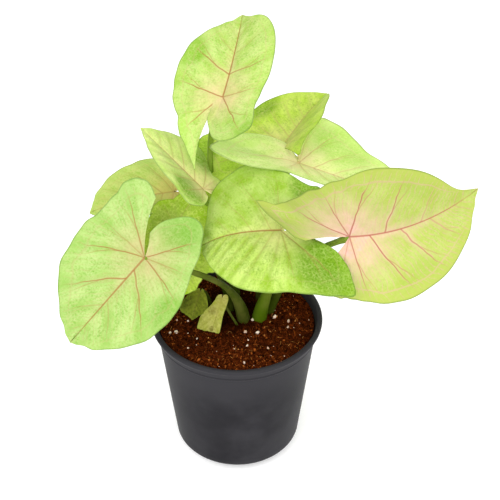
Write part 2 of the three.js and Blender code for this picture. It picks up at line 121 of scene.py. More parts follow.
LEAVES = {
    "top": {
        "at": (-7.6, 28, 242.4), "aim": (72, 31, -20), "bend": (14, -17, 14),
        "right": (24, -30, 244, (62, 59, 59, 45, 34, 28)),
        "left": (11, 23, 166, (62, 56, 53, 46, 40, 36, 32, 29, 33, 37, 46)),
        "right_outline": (
            (0, 62), (7, 59), (20, 59), (40, 45), (60, 34), (80, 28), (100, 28), (115, 31),
            (129, 40.5), (137, 42.3), (146, 42.3), (154, 43.2), (162, 39.2), (171, 29.5),
            (183, 21.5), (194, 16.5), (209, 11), (244, 8),
        ),
        "lap": (0, 0.5, -16, -6),
        "stalk": ((3.5, 19.5), 3.4, 1.8), "lean": (-24, 30), "via": (-21, 52, 205),
        "right_veins": (
            ((0.85, 5, 0.1), (0.68, 12, 0.15), (0.48, 26, 0.25), (0.25, 48, 0.8)),
            ((80, 0.7), (139, 0.9), (200, 0.0)),
        ),
        "left_veins": (
            ((0.85, 4, 0.1), (0.68, 10, 0.15), (0.50, 20, 0.25), (0.25, 39, 0.9)),
            ((72, 1.0), (137, 0.9)),
        ),
        "shades": ((-29.8, 30.9, 17), (33, -30, 15)),
        "quilt": 0.3,
    },
    "back_right": {
        "at": (29.5, 60, 189), "aim": (61, 13, -22), "bend": (14, -1, 25),
        "right": (5, 25, 163, (58, 52, 45, 37, 33, 31.5)),
        "left": (5, 4, 163, (58, 55, 50, 43, 39, 36)),
        "right_outline": (
            (0, 58), (7, 52), (20, 45), (40, 37), (60, 33), (80, 31), (95, 31), (106, 33.2),
            (114, 34.6), (120, 36.3), (122, 33), (124, 22), (130, 13), (145, 8), (163, 6),
        ),
        "left_outline": (
            (0, 58), (7, 55), (20, 50), (40, 43), (60, 39), (80, 37.5), (90, 40), (97, 46),
            (103, 52.5), (109, 54.8), (118, 55.5), (126, 55.5), (135, 55), (144, 52.5), (150, 49.5),
            (156, 45), (163, 34),
        ),
        "stalk": ((14, 22), 2.6, 1.6),
        "shades": ((-47, -24, 17), (-34, 26, 20)),
        "tone": "green", "quilt": 0.4,
    },
    "upper_right": {
        "at": (38.5, 39.8, 188.5), "aim": (-12, -15, -10), "bend": (0, 0, 10),
        "right": (0, 0, 258, (73, 66, 54, 41, 36, 34)),
        "left": (0, 10, 115, (73, 71, 66, 56, 55, 57, 53, 45, 36, 26, 17)),
        "right_outline": (
            (0, 73), (7, 66), (20, 54), (40, 41), (60, 36.5), (80, 34), (100, 32), (115, 39),
            (127, 49), (138, 59), (147, 63), (158, 56), (173, 48), (186, 40.5), (196, 36.4),
            (211, 28), (226, 20), (245, 15.5), (258, 8.5),
        ),
        "stalk": ((20, 14), 2.8, 1.7),
        "lap": (8, 0.34, 0, 14),
        "shades": ((-32, 24, 30),),
        "tone": "pale", "quilt": 0.35,
    },
    "right": {
        "at": (65.6, -30.6, 184.2), "aim": (12.2, -6.9, 26.2), "bend": (0, -40, -13),
        "right": (25, 65, 138, (86.6, 81.5, 79, 62.8, 48, 39.5, 36, 36, 37, 35, 25)),
        "left": (-8, -35, 190, (86.6, 74.6, 69, 62, 53.8, 43.6)),
        "left_outline": (
            (0, 86.6), (7, 74.6), (20, 69), (40, 62), (60, 53.8), (80, 44.5), (93, 42), (104, 38.5),
            (114, 38.5), (127, 38.2), (140, 39.5), (149, 42), (155, 45.5), (159, 49.5), (161.5, 57),
            (163.5, 60.5), (165.5, 57.5), (168, 54.5), (172, 51), (177, 47), (182, 43.4), (187, 39),
            (190, 31),
        ),
        "stalk": ((17, 7.5), 3, 1.9), "lean": (12, 3), "via": (52, -12, 163),
        "right_veins": (
            ((0.80, 7, 0.2), (0.60, 17, 0.4), (0.37, 29, 0.8), (0.14, 43, 1.0)),
            ((74, 1.0), (108, 0.5)),
        ),
        "left_veins": (
            ((0.80, 6, 0.2), (0.52, 19, 0.4), (0.25, 39, 0.9)),
            ((60, 1.0), (104, 0.9), (150, 1.0)),
        ),
        "shades": ((38, 44, 26), (-26, 52, 18)),
        "tone": "pink", "quilt": 0.4,
    },
    "front": {
        "at": (26, -24, 184), "aim": (179, -2, -24), "bend": (60, 3.5, 7),
        "right": (8, 45, 174, (54, 53, 51, 53, 50, 42)),
        "left": (8, 0, 174, (54, 52, 47, 45, 44, 42.5)),
        "right_outline": (
            (0, 54), (7, 53), (20, 51.5), (35, 54), (50, 51.5), (62, 50), (72, 47.2), (82, 43),
            (94, 39.4), (109, 36.5), (118, 36), (125, 38.4), (129, 39), (133, 35), (140, 33),
            (150, 32.5), (163, 25), (174, 15),
        ),
        "left_outline": (
            (0, 54), (7, 52), (20, 47), (40, 45), (60, 43.5), (81, 41.5), (97, 42.1), (111, 46.2),
            (122, 52.5), (129, 57.4), (134, 60.2), (137, 57.4), (142, 50.5), (148, 43.1), (154, 35),
            (158, 27), (163, 20), (174, 12),
        ),
        "stalk": ((13, 1), 4.8, 1.7),
        "right_veins": (
            ((0.80, 8, 0.1), (0.55, 22, 0.2), (0.30, 38, 0.25), (0.10, 55, 0.3)),
            ((85, 0.3), (125, 0.6)),
        ),
        "left_veins": (
            (
                (0.86, 5, 0.05), (0.72, 11, 0.08), (0.58, 18, 0.1), (0.44, 27, 0.12),
                (0.30, 35, 0.15), (0.17, 45, 0.2), (0.07, 56, 0.3),
            ),
            ((76, 0.15), (103, 0.35), (133, 0.6)),
        ),
        "shades": ((-25, -31, 34), (31, -20, 22)), "bark": "fresh",
        "tone": "mottled", "quilt": 0.70,
    },
    "left": {
        "at": (-53, -32, 170), "aim": (214, -37, -40), "bend": (4, 0, 3),
        "right": (6, 0, 149, (66, 63, 57, 51, 44, 40, 38, 41, 46, 46, 36)),
        "left": (32, 0, 210, (66, 63, 58, 50, 42, 35, 29, 34, 38, 26, 15)),
        "stalk": ((6, 3.6), 4.3, 1.8), "lean": (-4, -12), "via": (-10, -39, 158),
        "right_veins": (
            ((0.80, 6, 0.15), (0.55, 16, 0.3), (0.24, 30, 1.0)),
            ((60, 1.0), (90, 0.4), (124, 0.9)),
        ),
        "left_veins": (
            ((0.80, 6, 0.15), (0.50, 18, 0.3), (0.14, 38, 0.9)),
            ((76, 0.9), (108, 0.5), (148, 1.0)),
        ),
        "shades": ((-5, -26, 19), (-36, 16, 20)),
        "tone": "satin", "quilt": 0.55,
    },
    "back_left": {
        "at": (-39, 32, 172.5), "aim": (201, 5, -11), "bend": (23, 0, 9),
        "right": (19, 10, 178, (54, 50, 46, 39, 34, 33, 30, 26, 22, 18, 12)),
        "left": (15, 10, 178, (54, 50, 42, 25, 15, 12, 11, 10, 9, 8, 7)),
        "stalk": ((-4, 14.5), 2.6, 1.6), "lean": (-4, 12), "via": (-18, 36, 165),
        "tone": "orange", "quilt": 0.4, "bark": "brown",
    },
    "upper_left": {
        "at": (-20, 14, 187), "aim": (157, 40, 12), "bend": (2, 2, 13),
        "right": (15, 10, 163, (52, 48, 43, 34, 21, 15)),
        "left": (9, 8, 163, (52, 48, 43, 39.5, 34, 32, 23, 11, 7, 5, 4)),
        "right_outline": (
            (0, 52), (7, 48), (20, 43), (36, 37), (48, 33.5), (58, 31), (66, 29), (73, 24),
            (80, 19), (91, 15.5), (105, 17), (120, 19), (135, 17), (150, 14), (163, 9),
        ),
        "stalk": ((3, 12), 2.4, 1.4), "lean": (-8, 0), "via": (-15, 17, 165),
        "shades": ((-17.9, 6.5, 17), (26, 12, 21)),
        "tone": "streaked", "quilt": 0.35,
    },
    "inner_left": {
        "at": (-37, 5.5, 166.5), "aim": (268, -38, 0), "bend": (12, 0, 8),
        "right": (15, 10, 190, (46, 43, 38, 33, 27, 19)),
        "left": (15, 10, 190, (46, 44, 39.5, 37.5, 31, 25)),
        "right_outline": (
            (0, 46), (7, 43), (20, 38), (40, 33), (60, 27), (80, 20), (100, 17), (120, 17),
            (135, 17.8), (150, 17.4), (166, 17), (190, 16),
        ),
        "left_outline": (
            (0, 46), (9, 44.1), (14, 42.8), (20, 41.9), (24, 39.5), (29, 37), (35, 36.4), (41, 38),
            (50, 33), (66, 27), (90, 25), (110, 27), (128, 30), (145, 30), (160, 26), (174, 20),
            (190, 16),
        ),
        "stalk": ((-2.5, 7.5), 2.2, 1.5),
        "shades": ((0, -10, 32),),
        "tone": "netted", "quilt": 0.5,
    },
    "low_left": {
        "at": (-23, 5, 115), "aim": (248, -40, 0), "bend": (10, 0, 5),
        "right": (10, 10, 163, (18, 17, 15, 12, 9, 7)),
        "left": (10, 10, 163, (18, 17, 14, 10.5, 8, 7)),
        "right_outline": (
            (0, 18.6), (8, 17.2), (21, 16.9), (29, 17.2), (36, 16.4), (50, 10.8), (67, 6.8),
            (90, 3.4), (120, 2.6), (163, 2.2),
        ),
        "left_outline": (
            (0, 18.6), (8, 16.6), (15, 15.3), (31, 13.6), (46, 10.8), (60, 7), (90, 3.4),
            (120, 2.6), (163, 2.2),
        ),
        "stalk": ((-14, 6), 1.4, 0.9),
        "shades": ((8, 8, 9),),
        "tone": "olive", "quilt": 0.3,
    },
    "low_front": {
        "at": (-9.3, -1.4, 115), "aim": (245, -43, 0), "bend": (10, 0, 5),
        "right": (10, 10, 163, (22, 22.2, 20.5, 9.5, 5.4, 4)),
        "left": (10, 10, 163, (22, 22.2, 20.5, 9.5, 5.4, 4)),
        "right_outline": (
            (0, 21.9), (6, 22.3), (12, 23), (18, 23.8), (23, 24.4), (26, 23.4), (30, 20.5),
            (34, 18.3), (37, 15), (38, 12), (42, 7.4), (60, 4.6), (85, 3.8), (120, 3), (163, 2.2),
        ),
        "left_outline": (
            (0, 21.9), (5, 21.9), (10, 22.1), (13.5, 22.2), (16, 19.5), (19, 14.5), (24, 11),
            (35, 8), (60, 5.4), (90, 4.4), (136, 3.9), (163, 2.4),
        ),
        "stalk": ((5.5, -5), 1.2, 0.8), "lean": (-4, -2), "via": (-6, -5, 106),
        "shades": ((0.5, 20, 2.4), (3.5, 9, 4)),
        "tone": "withered", "quilt": 0.5,
    },
}

# Colours of each tone, and how strongly each effect shows. Shade darkens a leaf's own patches and
# Right its right half, both as painted shade. Stripe is painted highlight on the bulges between the
# veins and painted shade in the trenches along them.
COLOURS = ("Lime", "Pale", "Deep", "Flush", "Vein")
AMOUNTS = ("Flush", "Vein", "Mottle", "Margin", "Net", "Fine", "Stripe", "Shade", "Right")
TONES = {
    "lime": (
        (0.41, 0.61, 0.105), (0.6, 0.72, 0.25), (0.21, 0.43, 0.025),
        (0.74, 0.54, 0.3), (0.36, 0.13, 0.04),
        (0.8, 0.8, 0.85, 0.3, 0.35, 0.25, 0.35, 1, 0),
    ),
    "satin": (
        (0.33, 0.51, 0.12), (0.46, 0.58, 0.21), (0.15, 0.34, 0.025),
        (0.52, 0.4, 0.2), (0.32, 0.12, 0.035),
        (0.7, 0.75, 0.8, 0.3, 0.3, 0.25, 0.45, 0.85, 0),
    ),
    "pale": (
        (0.68, 0.88, 0.24), (0.84, 0.93, 0.4), (0.38, 0.63, 0.07),
        (0.9, 0.7, 0.44), (0.55, 0.25, 0.13),
        (0.75, 0.5, 0.8, 0.3, 0.3, 0.2, 0.4, 0.8, 0),
    ),
    "streaked": (
        (0.6, 0.8, 0.18), (0.76, 0.86, 0.32), (0.15, 0.35, 0.003),
        (0.88, 0.68, 0.4), (0.5, 0.24, 0.11),
        (0.75, 0.5, 0.45, 0.3, 0.3, 0.2, 0.3, 0.95, 0),
    ),
    "green": (
        (0.52, 0.76, 0.05), (0.74, 0.88, 0.17), (0.12, 0.3, 0.003),
        (0.84, 0.68, 0.36), (0.55, 0.33, 0.14),
        (0.6, 0.4, 0.55, 0.3, 0.3, 0.2, 0.18, 0.9, 0),
    ),
    "pink": (
        (0.42, 0.5, 0.09), (0.49, 0.56, 0.16), (0.33, 0.46, 0.06),
        (0.76, 0.47, 0.4), (0.42, 0.12, 0.09),
        (1, 0.85, 0.8, 0.85, 0.2, 0.45, 0.35, 0.6, 0),
    ),
    "mottled": (
        (0.35, 0.54, 0.045), (0.58, 0.73, 0.2), (0.11, 0.25, 0.002),
        (0.7, 0.62, 0.28), (0.3, 0.1, 0.03),
        (0.6, 0.75, 0.68, 0.2, 0.25, 0.14, 0.42, 0.95, 0.34),
    ),
    "orange": (
        (0.47, 0.63, 0.14), (0.6, 0.7, 0.21), (0.3, 0.5, 0.05),
        (0.72, 0.52, 0.18), (0.42, 0.2, 0.07),
        (0.8, 0.45, 0.8, 0.3, 0.3, 0.2, 0.3, 0, 0),
    ),
    "netted": (
        (0.52, 0.76, 0.035), (0.72, 0.84, 0.17), (0.17, 0.35, 0.01),
        (0.42, 0.46, 0.12), (0.42, 0.3, 0.1),
        (0.2, 0.35, 0.7, 0.2, 0.6, 0.2, 0.3, 0.62, 0),
    ),
    "olive": (
        (0.16, 0.2, 0.012), (0.3, 0.34, 0.03), (0.022, 0.034, 0.001),
        (0.2, 0.22, 0.03), (0.14, 0.1, 0.02),
        (0.3, 0.3, 0.8, 0.2, 0.3, 0.1, 0.3, 0.8, 0),
    ),
    "withered": (
        (0.4, 0.43, 0.05), (0.62, 0.6, 0.17), (0.15, 0.14, 0.01),
        (0.54, 0.46, 0.16), (0.42, 0.32, 0.08),
        (0.5, 0.2, 0.55, 0.2, 0.4, 0.1, 0.3, 0.85, 0),
    ),
}

# ---------------------------------------------------------------- small tools for objects


def deselect():
    if bpy.context.object and bpy.context.object.mode != "OBJECT":
        bpy.ops.object.mode_set(mode="OBJECT")
    bpy.ops.object.select_all(action="DESELECT")


def take(*objects):
    """Selects objects, and makes the first one active."""
    deselect()
    for obj in objects:
        obj.select_set(True)
    bpy.context.view_layer.objects.active = objects[0]


def new_object(name):
    """Names the object that an operator has just made."""
    obj = bpy.context.object
    obj.name = obj.data.name = name
    return obj


def merge_doubles(distance, face_outwards=True):
    """Merges the active mesh's doubles, and turns its faces outwards."""
    bpy.ops.object.mode_set(mode="EDIT")
    bpy.ops.mesh.select_all(action="SELECT")
    bpy.ops.mesh.remove_doubles(threshold=distance)
    if face_outwards:
        bpy.ops.mesh.normals_make_consistent(inside=False)
    bpy.ops.object.mode_set(mode="OBJECT")


def apply_modifiers(obj):
    take(obj)
    for modifier in list(obj.modifiers):
        bpy.ops.object.modifier_apply(modifier=modifier.name)


def dress(obj, *materials):
    """Gives an object these materials in place of any others."""
    obj.data.materials.clear()
    for material in materials:
        obj.data.materials.append(material)


def settle(obj, slot, *nodes, crease=None):
    """Smooths a piece up to an angle, puts its place into its mesh and hands it to the body."""
    take(obj)
    if crease:
        bpy.ops.object.shade_smooth_by_angle(angle=math.radians(crease))
    bpy.ops.object.transform_apply(location=True, rotation=True, scale=True)
    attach(obj, "root")
    if nodes:
        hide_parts(*nodes)


def turned_body(name, profile, segments):
    """A turned shape, extruded ring by ring from a disc. profile holds radius and height in mm."""
    deselect()
    radius, height = profile[0]
    bpy.ops.mesh.primitive_circle_add(
        vertices=segments, radius=radius * MM, fill_type="NOTHING", location=(0, 0, 0)
    )
    body = new_object(name)
    bpy.ops.object.mode_set(mode="EDIT")
    bpy.ops.mesh.select_mode(type="EDGE")
    bpy.ops.mesh.select_all(action="SELECT")
    bpy.ops.transform.translate(value=(0, 0, height * MM))
    bpy.ops.mesh.edge_face_add()
    bpy.ops.mesh.inset(thickness=radius * MM * 0.7)
    bpy.ops.mesh.poke()
    bpy.ops.mesh.select_all(action="DESELECT")
    bpy.ops.object.mode_set(mode="OBJECT")
    for edge in body.data.edges:
        ends = [body.data.vertices[v].co.xy.length for v in edge.vertices]
        edge.select = min(ends) > radius * MM * 0.99
    bpy.ops.object.mode_set(mode="EDIT")
    for next_radius, next_height in profile[1:]:
        bpy.ops.mesh.extrude_region_move(
            TRANSFORM_OT_translate={"value": (0, 0, (next_height - height) * MM)}
        )
        if next_radius <= 0:
            bpy.ops.mesh.merge(type="CENTER")
            break
        ratio = next_radius / radius
        bpy.ops.transform.resize(value=(ratio, ratio, 1), center_override=(0, 0, next_height * MM))
        radius, height = next_radius, next_height
    merge_doubles(1e-6)
    return body


# ---------------------------------------------------------------- small tools for materials


class Wire:
    """A node's output. Arithmetic on it adds Math nodes to the same tree."""

    def __init__(self, graph, socket):
        self.graph, self.socket = graph, socket

    def __add__(self, other):
        return self.graph.math("ADD", self, other)

    def __sub__(self, other):
        return self.graph.math("SUBTRACT", self, other)

    def __rsub__(self, other):
        return self.graph.math("SUBTRACT", other, self)

    def __mul__(self, other):
        return self.graph.math("MULTIPLY", self, other)

    def __truediv__(self, other):
        return self.graph.math("DIVIDE", self, other)

    def __abs__(self):
        return self.graph.math("ABSOLUTE", self)


class Graph:
    """Adds nodes to a tree. A socket takes a value or a wire."""

    def __init__(self, tree):
        self.tree = tree

    def feed(self, socket, value):
        if isinstance(value, Wire):
            self.tree.links.new(value.socket, socket)
        elif value is not None:
            if socket.type == "RGBA" and len(value) == 3:
                value = (*value, 1.0)
            socket.default_value = value

    def wires(self, kind, inputs=(), **settings):
        """Adds a node, and gives all its outputs by name."""
        made = self.tree.nodes.new(kind)
        for key, value in settings.items():
            setattr(made, key, value)
        for key, value in dict(inputs).items():
            self.feed(made.inputs[key], value)
        return {socket.name: Wire(self, socket) for socket in made.outputs}

    def wire(self, kind, inputs=(), **settings):
        """Adds a node, and gives its first output."""
        return next(iter(self.wires(kind, inputs, **settings).values()))

    def math(self, operation, *values):
        return self.wire("ShaderNodeMath", enumerate(values), operation=operation)

    def clamp(self, value):
        return self.wire("ShaderNodeClamp", {"Value": value})

    def most(self, *values):
        """The greatest of the values, the first of which is a wire."""
        greatest = values[0]
        for value in values[1:]:
            greatest = self.math("MAXIMUM", greatest, value)
        return greatest

    def step(self, value, low, high, start=0.0, end=1.0):
        """A smooth step from start to end as value goes from low to high."""
        inputs = {"Value": value, "From Min": low, "From Max": high, "To Min": start, "To Max": end}
        return self.wire("ShaderNodeMapRange", inputs, interpolation_type="SMOOTHSTEP")

    def fall(self, value, low, high, start=1.0):
        """A smooth step down to nothing."""
        return self.step(value, low, high, start, 0.0)

    def mix(self, factor, a, b):
        """A mix of two colours, which the node keeps behind its sockets for numbers and vectors."""
        made = self.tree.nodes.new("ShaderNodeMix")
        made.data_type = "RGBA"
        for index, value in ((0, factor), (6, a), (7, b)):
            self.feed(made.inputs[index], value)
        return Wire(self, made.outputs[2])

    def noise(self, vector, scale, detail, roughness=0.5):
        inputs = {"Vector": vector, "Scale": scale, "Detail": detail, "Roughness": roughness}
        return self.wires("ShaderNodeTexNoise", inputs)["Fac"]

    def split(self, vector):
        return self.wires("ShaderNodeSeparateXYZ", {"Vector": vector}).values()

    def place(self):
        """Object coordinates, in metres."""
        return self.wires("ShaderNodeTexCoord")["Object"]

    def bump(self, height, distance, strength):
        inputs = {"Height": height, "Distance": distance, "Strength": strength}
        return self.wire("ShaderNodeBump", inputs)

    def principled(self, colour, roughness, normal, specular, **others):
        inputs = {
            "Base Color": colour, "Roughness": roughness, "Normal": normal,
            "Specular IOR Level": specular, **others,
        }
        return self.wire("ShaderNodeBsdfPrincipled", inputs)


def new_group(name, inputs, outputs):
    """A node group, its graph, its inputs as wires, and its outputs' sockets."""
    group = bpy.data.node_groups.new(name, "ShaderNodeTree")
    for side, kinds in (("INPUT", inputs), ("OUTPUT", outputs)):
        for kind, labels in kinds.items():
            for label in labels:
                group.interface.new_socket(label, in_out=side, socket_type="NodeSocket" + kind)
    g = Graph(group)
    into = g.wires("NodeGroupInput")
    return group, g, into, group.nodes.new("NodeGroupOutput").inputs


def new_material(name):
    material = bpy.data.materials.new(name)
    material.use_nodes = True
    nodes = material.node_tree.nodes
    nodes.clear()
    surface = nodes.new("ShaderNodeOutputMaterial").inputs["Surface"]
    return material, Graph(material.node_tree), surface


BRIM_COLOUR = (0.10, 0.18, 0.03)  # the thin dark line of the margin
UNDER_COLOUR = (0.52, 0.62, 0.34)  # a bloom on the under side
GLOW_COLOUR = (0.55, 0.80, 0.08)  # light that comes through a blade
GLOW_SHARE = 0.20


def blade_face_group():
    """Tissue, flush and veins of a blade, from its own maps: vein line and way out to the margin,
    flat place in units of 100 mm, and spacing of the veins with their strength."""
    if "Blade Face" in bpy.data.node_groups:
        return bpy.data.node_groups["Blade Face"]
    group, g, into, out = new_group(
        "Blade Face",
        {
            "Vector": ("Vein Map", "Flat Map", "Span Map", "Shade A", "Shade B"),
            "Color": COLOURS,
            "Float": ("Length", *(name + " Amount" for name in AMOUNTS)),
        },
        {"Color": ("Color",), "Float": ("Height", "Roughness")},
    )
    flat, length = into["Flat Map"], into["Length"]
    vein_line, outward, _ = g.split(into["Vein Map"])
    flat_x, flat_y, _ = g.split(flat)
    span, strength, _ = g.split(into["Span Map"])
    across, along, span = abs(flat_x * 100.0), flat_y * 100.0, span * 100.0
    share = g.clamp(along / length)
    ahead = g.step(along, -1.5, 1.0)
    wobble = g.noise(flat, 8.0, 1.5) - 0.5
    swerved = vein_line + wobble * 0.17
    off_vein = g.math("PINGPONG", swerved, 0.5)
    near_side = off_vein * span

    # the midrib, which tapers to the tip
    rib_width = share * -0.55 + 0.90
    rib = g.fall(across, rib_width * 0.3, rib_width) * ahead
    rib = rib * g.step(share, 0.7, 1.0, 1.0, 0.4)

    # side veins, strongest near the midrib, each with a fork towards the tip
    side_width = outward * -0.36 + 0.68
    side = g.fall(near_side, side_width * 0.25, side_width)
    side = side * g.fall(outward, 0.5, 1.0)
    near_fork = g.math("PINGPONG", swerved + (outward - 0.34) * 0.62, 0.5) * span
    fork = g.fall(near_fork, 0.1, 0.5, 0.6) * g.step(outward, 0.34, 0.40)
    side = g.most(side, fork * g.fall(outward, 0.55, 0.92)) * strength

    # fine veins between them, the collective vein inside the margin, and the net that joins these
    near_fine = g.math("PINGPONG", vein_line * 7.0 + wobble * 2.2, 0.5) * (span / 7.0)
    patchy = g.step(g.noise(flat, 34.0, 3.0), 0.36, 0.62)
    fine = g.fall(near_fine, 0.12, 0.55) * (patchy * 0.85 + 0.15)
    inside = abs(wobble * 0.16 + outward - 0.80)
    collective = g.fall(inside, 0.004, 0.024) * g.fall(share, 0.75, 0.95)
    fine = g.most(fine * g.step(outward, 0.85, 1.0, 1.0, 0.2), collective)
    cells = g.wires(
        "ShaderNodeTexVoronoi", {"Vector": flat, "Scale": 44.0, "Randomness": 0.95},
        feature="DISTANCE_TO_EDGE",
    )
    net = g.fall(cells["Distance"], 0.0, 0.16) * patchy

    # the flush that spreads from the junction, along the midrib and along strong veins
    cloud = g.noise(flat, 14.0, 3.0, 0.6)
    from_junction = g.math("SQRT", across * across + along * along) / length
    round_junction = g.fall(from_junction, 0.02, 0.46)
    by_rib = g.fall(across, 0.0, 8.0) * ahead * g.fall(share, 0.1, 0.95, 0.8)
    by_side = g.fall(near_side, 0.0, 3.6, 0.8) * strength * g.fall(outward, 0.1, 0.8)
    flush = g.clamp(g.most(round_junction, by_rib, by_side) * (cloud * 1.5 + 0.05))
    flush = g.clamp(flush * into["Flush Amount"])

    # tissue: painted highlight on the bulges between the veins and painted shade in the trenches
    # along them, streaked, blotched and specked, and painted shade in patches and on the right half
    course = {"X": vein_line * 5.0, "Y": outward * 3.0, "Z": share}
    streak = g.step(g.noise(g.wire("ShaderNodeCombineXYZ", course), 1.0, 3.0, 0.6), 0.36, 0.64)
    blotch = g.step(g.noise(flat, 8.0, 4.0, 0.6), 0.40, 0.62)
    speck = g.step(g.noise(flat, 75.0, 3.0, 0.7), 0.40, 0.66)
    dark = g.clamp((streak * 0.45 + speck * 0.55 + (0.36 - cloud)) * into["Mottle Amount"])
    between = off_vein * 2.0
    # painted highlight on the quilted bulges between the veins, and painted shade in the trenches
    # along them
    bulge_highlight = g.step(between, 0.25, 0.75) * g.step(outward, 0.02, 0.25)
    trench_shade = (1.0 - g.step(between, 0.10, 0.55)) * g.step(outward, 0.05, 0.3, 0.0, 0.9)
    # painted shade: up to two round darker patches on the blade (on the withered leaf, its brown
    # spots)
    patches = []
    for patch in (into["Shade A"], into["Shade B"]):
        patch_x, patch_y, size = g.split(patch)
        gap_x, gap_y = flat_x - patch_x, flat_y - patch_y
        reach = g.math("SQRT", gap_x * gap_x + gap_y * gap_y) / g.most(size, 0.001)
        patches.append(g.fall(reach, 0.45, 1.0))
    # painted shade over the mottle: the darker patches, the trenches along the veins and, on the
    # front leaf, the right half that curves away from the light
    dark = g.most(
        dark, trench_shade * into["Stripe Amount"], g.most(*patches) * into["Shade Amount"],
        g.step(flat_x, 0.0, 0.1) * into["Right Amount"],
    )
    dark = g.clamp(dark * (speck * 0.35 + 0.75))
    colour = into["Lime"]
    for factor, tint in (
        (blotch * 0.75, into["Pale"]),
        (bulge_highlight * into["Stripe Amount"], into["Pale"]),
        (dark, into["Deep"]),
        (flush, into["Flush"]),
        (g.step(outward, 0.72, 0.97) * into["Margin Amount"], into["Lime"]),
        (net * into["Net Amount"], into["Pale"]),
        (fine * into["Fine Amount"], g.mix(0.35, into["Flush"], into["Vein"])),
        (side * into["Vein Amount"], into["Vein"]),
        (rib * into["Vein Amount"], into["Vein"]),
        (g.step(outward, 0.972, 0.994, 0.0, 0.55), BRIM_COLOUR),
    ):
        colour = g.mix(factor, colour, tint)
    g.feed(out["Color"], colour)
    sunk = rib + side * 0.8 + fine * 0.35 + net * 0.15
    g.feed(out["Height"], g.noise(flat, 30.0, 3.0) - sunk)
    g.feed(out["Roughness"], cloud * 0.22 + 0.36)
    return group


def speckle_group():
    """Two sizes of noise, as a mask and a height."""
    if "Speckle" in bpy.data.node_groups:
        return bpy.data.node_groups["Speckle"]
    group, g, into, out = new_group(
        "Speckle",
        {"Vector": ("Vector",), "Float": ("Coarse", "Fine")},
        {"Float": ("Patch", "Grain")},
    )
    g.feed(out["Patch"], g.noise(into["Vector"], into["Coarse"], 4.0, 0.6))
    g.feed(out["Grain"], g.noise(into["Vector"], into["Fine"], 3.0, 0.65))
    return group


def speckles(g, coarse, fine):
    """Patches and grain on Object coordinates, in so many per metre."""
    inputs = {"Vector": g.place(), "Coarse": coarse, "Fine": fine}
    made = g.wires("ShaderNodeGroup", inputs, node_tree=speckle_group())
    return made["Patch"], made["Grain"]


def blade_material(name, leaf, under=False):
    *colours, amounts = TONES[leaf.get("tone", "lime")]
    colours, amounts = dict(zip(COLOURS, colours)), dict(zip(AMOUNTS, amounts))
    if under:
        for key in ("Lime", "Deep"):
            colours[key] = tuple(0.7 * a + 0.3 * b for a, b in zip(colours[key], UNDER_COLOUR))
        amounts["Flush"] *= 0.6
        amounts["Mottle"] *= 0.5
    material, g, surface = new_material(name)
    maps = {
        label: g.wire("ShaderNodeUVMap", uv_map=layer)
        for label, layer in (("Vein Map", "veins"), ("Flat Map", "flat"), ("Span Map", "span"))
    }
    shades = zip(("Shade A", "Shade B"), leaf.get("shades", ()))
    face = g.wires("ShaderNodeGroup", {
        **maps, **colours, **{key + " Amount": value for key, value in amounts.items()},
        **{label: [v / 100 for v in shade] for label, shade in shades},
        "Length": float(leaf["right"][3][0]),
    }, node_tree=blade_face_group())
    normal = g.bump(face["Height"], 0.12 * MM, 0.9 if under else 0.7)
    skin = g.principled(face["Color"], face["Roughness"], normal, 0.10)
    glow = g.wire("ShaderNodeBsdfTranslucent", {"Color": g.mix(0.25, face["Color"], GLOW_COLOUR)})
    g.feed(surface, g.wire("ShaderNodeMixShader", {0: GLOW_SHARE, 1: skin, 2: glow}))
    return material


# Colour of a petiole low down and up under its blade; the low colour is darkened as painted shade
# among the stalks, least on the front stalk, and is brown on the dry one. The heights are those
# between which the one passes into the other.
BARKS = {
    "green": ((0.034, 0.053, 0.003), (0.20, 0.33, 0.03)),
    "fresh": ((0.062, 0.11, 0.003), (0.20, 0.33, 0.03)),
    "brown": ((0.06, 0.03, 0.012), (0.28, 0.26, 0.07)),
}
BARK_STREAK = (0.22, 0.20, 0.05)
STALK_SHADE_HEIGHTS = (148 * MM, 185 * MM)


def petiole_material(bark):
    name = "petiole_" + bark
    if name in bpy.data.materials:
        return bpy.data.materials[name]
    low, high = BARKS[bark]
    material, g, surface = new_material(name)
    patch, grain = speckles(g, 45.0, 700.0)
    _, _, height = g.split(g.place())
    # painted shade: darker low down among the stalks, paler up under the blade
    colour = g.mix(g.step(height, *STALK_SHADE_HEIGHTS), low, high)
    colour = g.mix(g.step(patch, 0.40, 0.65) * 0.25, colour, BARK_STREAK)
    colour = g.mix(grain * 0.25, colour, low)
    g.feed(surface, g.principled(colour, 0.50, g.bump(grain, 0.15 * MM, 0.5), 0.02))
    return material


RIM_LIGHT_HEIGHTS = (55 * MM, 90 * MM)


def plastic_material(colour):
    """Dull black plastic, paler in patches, and paler towards the rim as painted light from above.
    """
    material, g, surface = new_material("pot_plastic")
    patch, grain = speckles(g, 22.0, 1400.0)
    paler = tuple(min(1.0, 1.5 * c + 0.008) for c in colour)
    colour = g.mix(g.step(patch, 0.35, 0.70), colour, paler)
    _, _, height = g.split(g.place())
    # painted light: paler towards the rim, where the light from above falls
    colour = g.mix(g.step(height, *RIM_LIGHT_HEIGHTS), colour, paler)
    g.feed(surface, g.principled(colour, patch * 0.20 + 0.36, g.bump(grain, 0.05 * MM, 0.5), 0.05))
    return material


PEAT_ORANGE, PEAT_GOLD = (0.40, 0.105, 0.018), (0.60, 0.29, 0.08)
STALK_SHADE_SPOT = (-5 * MM, 9 * MM, 95 * MM)  # the middle of the stalks' feet
STALK_SHADE_REACH = (14 * MM, 31 * MM)  # how far off the painted shade starts to fade, and ends
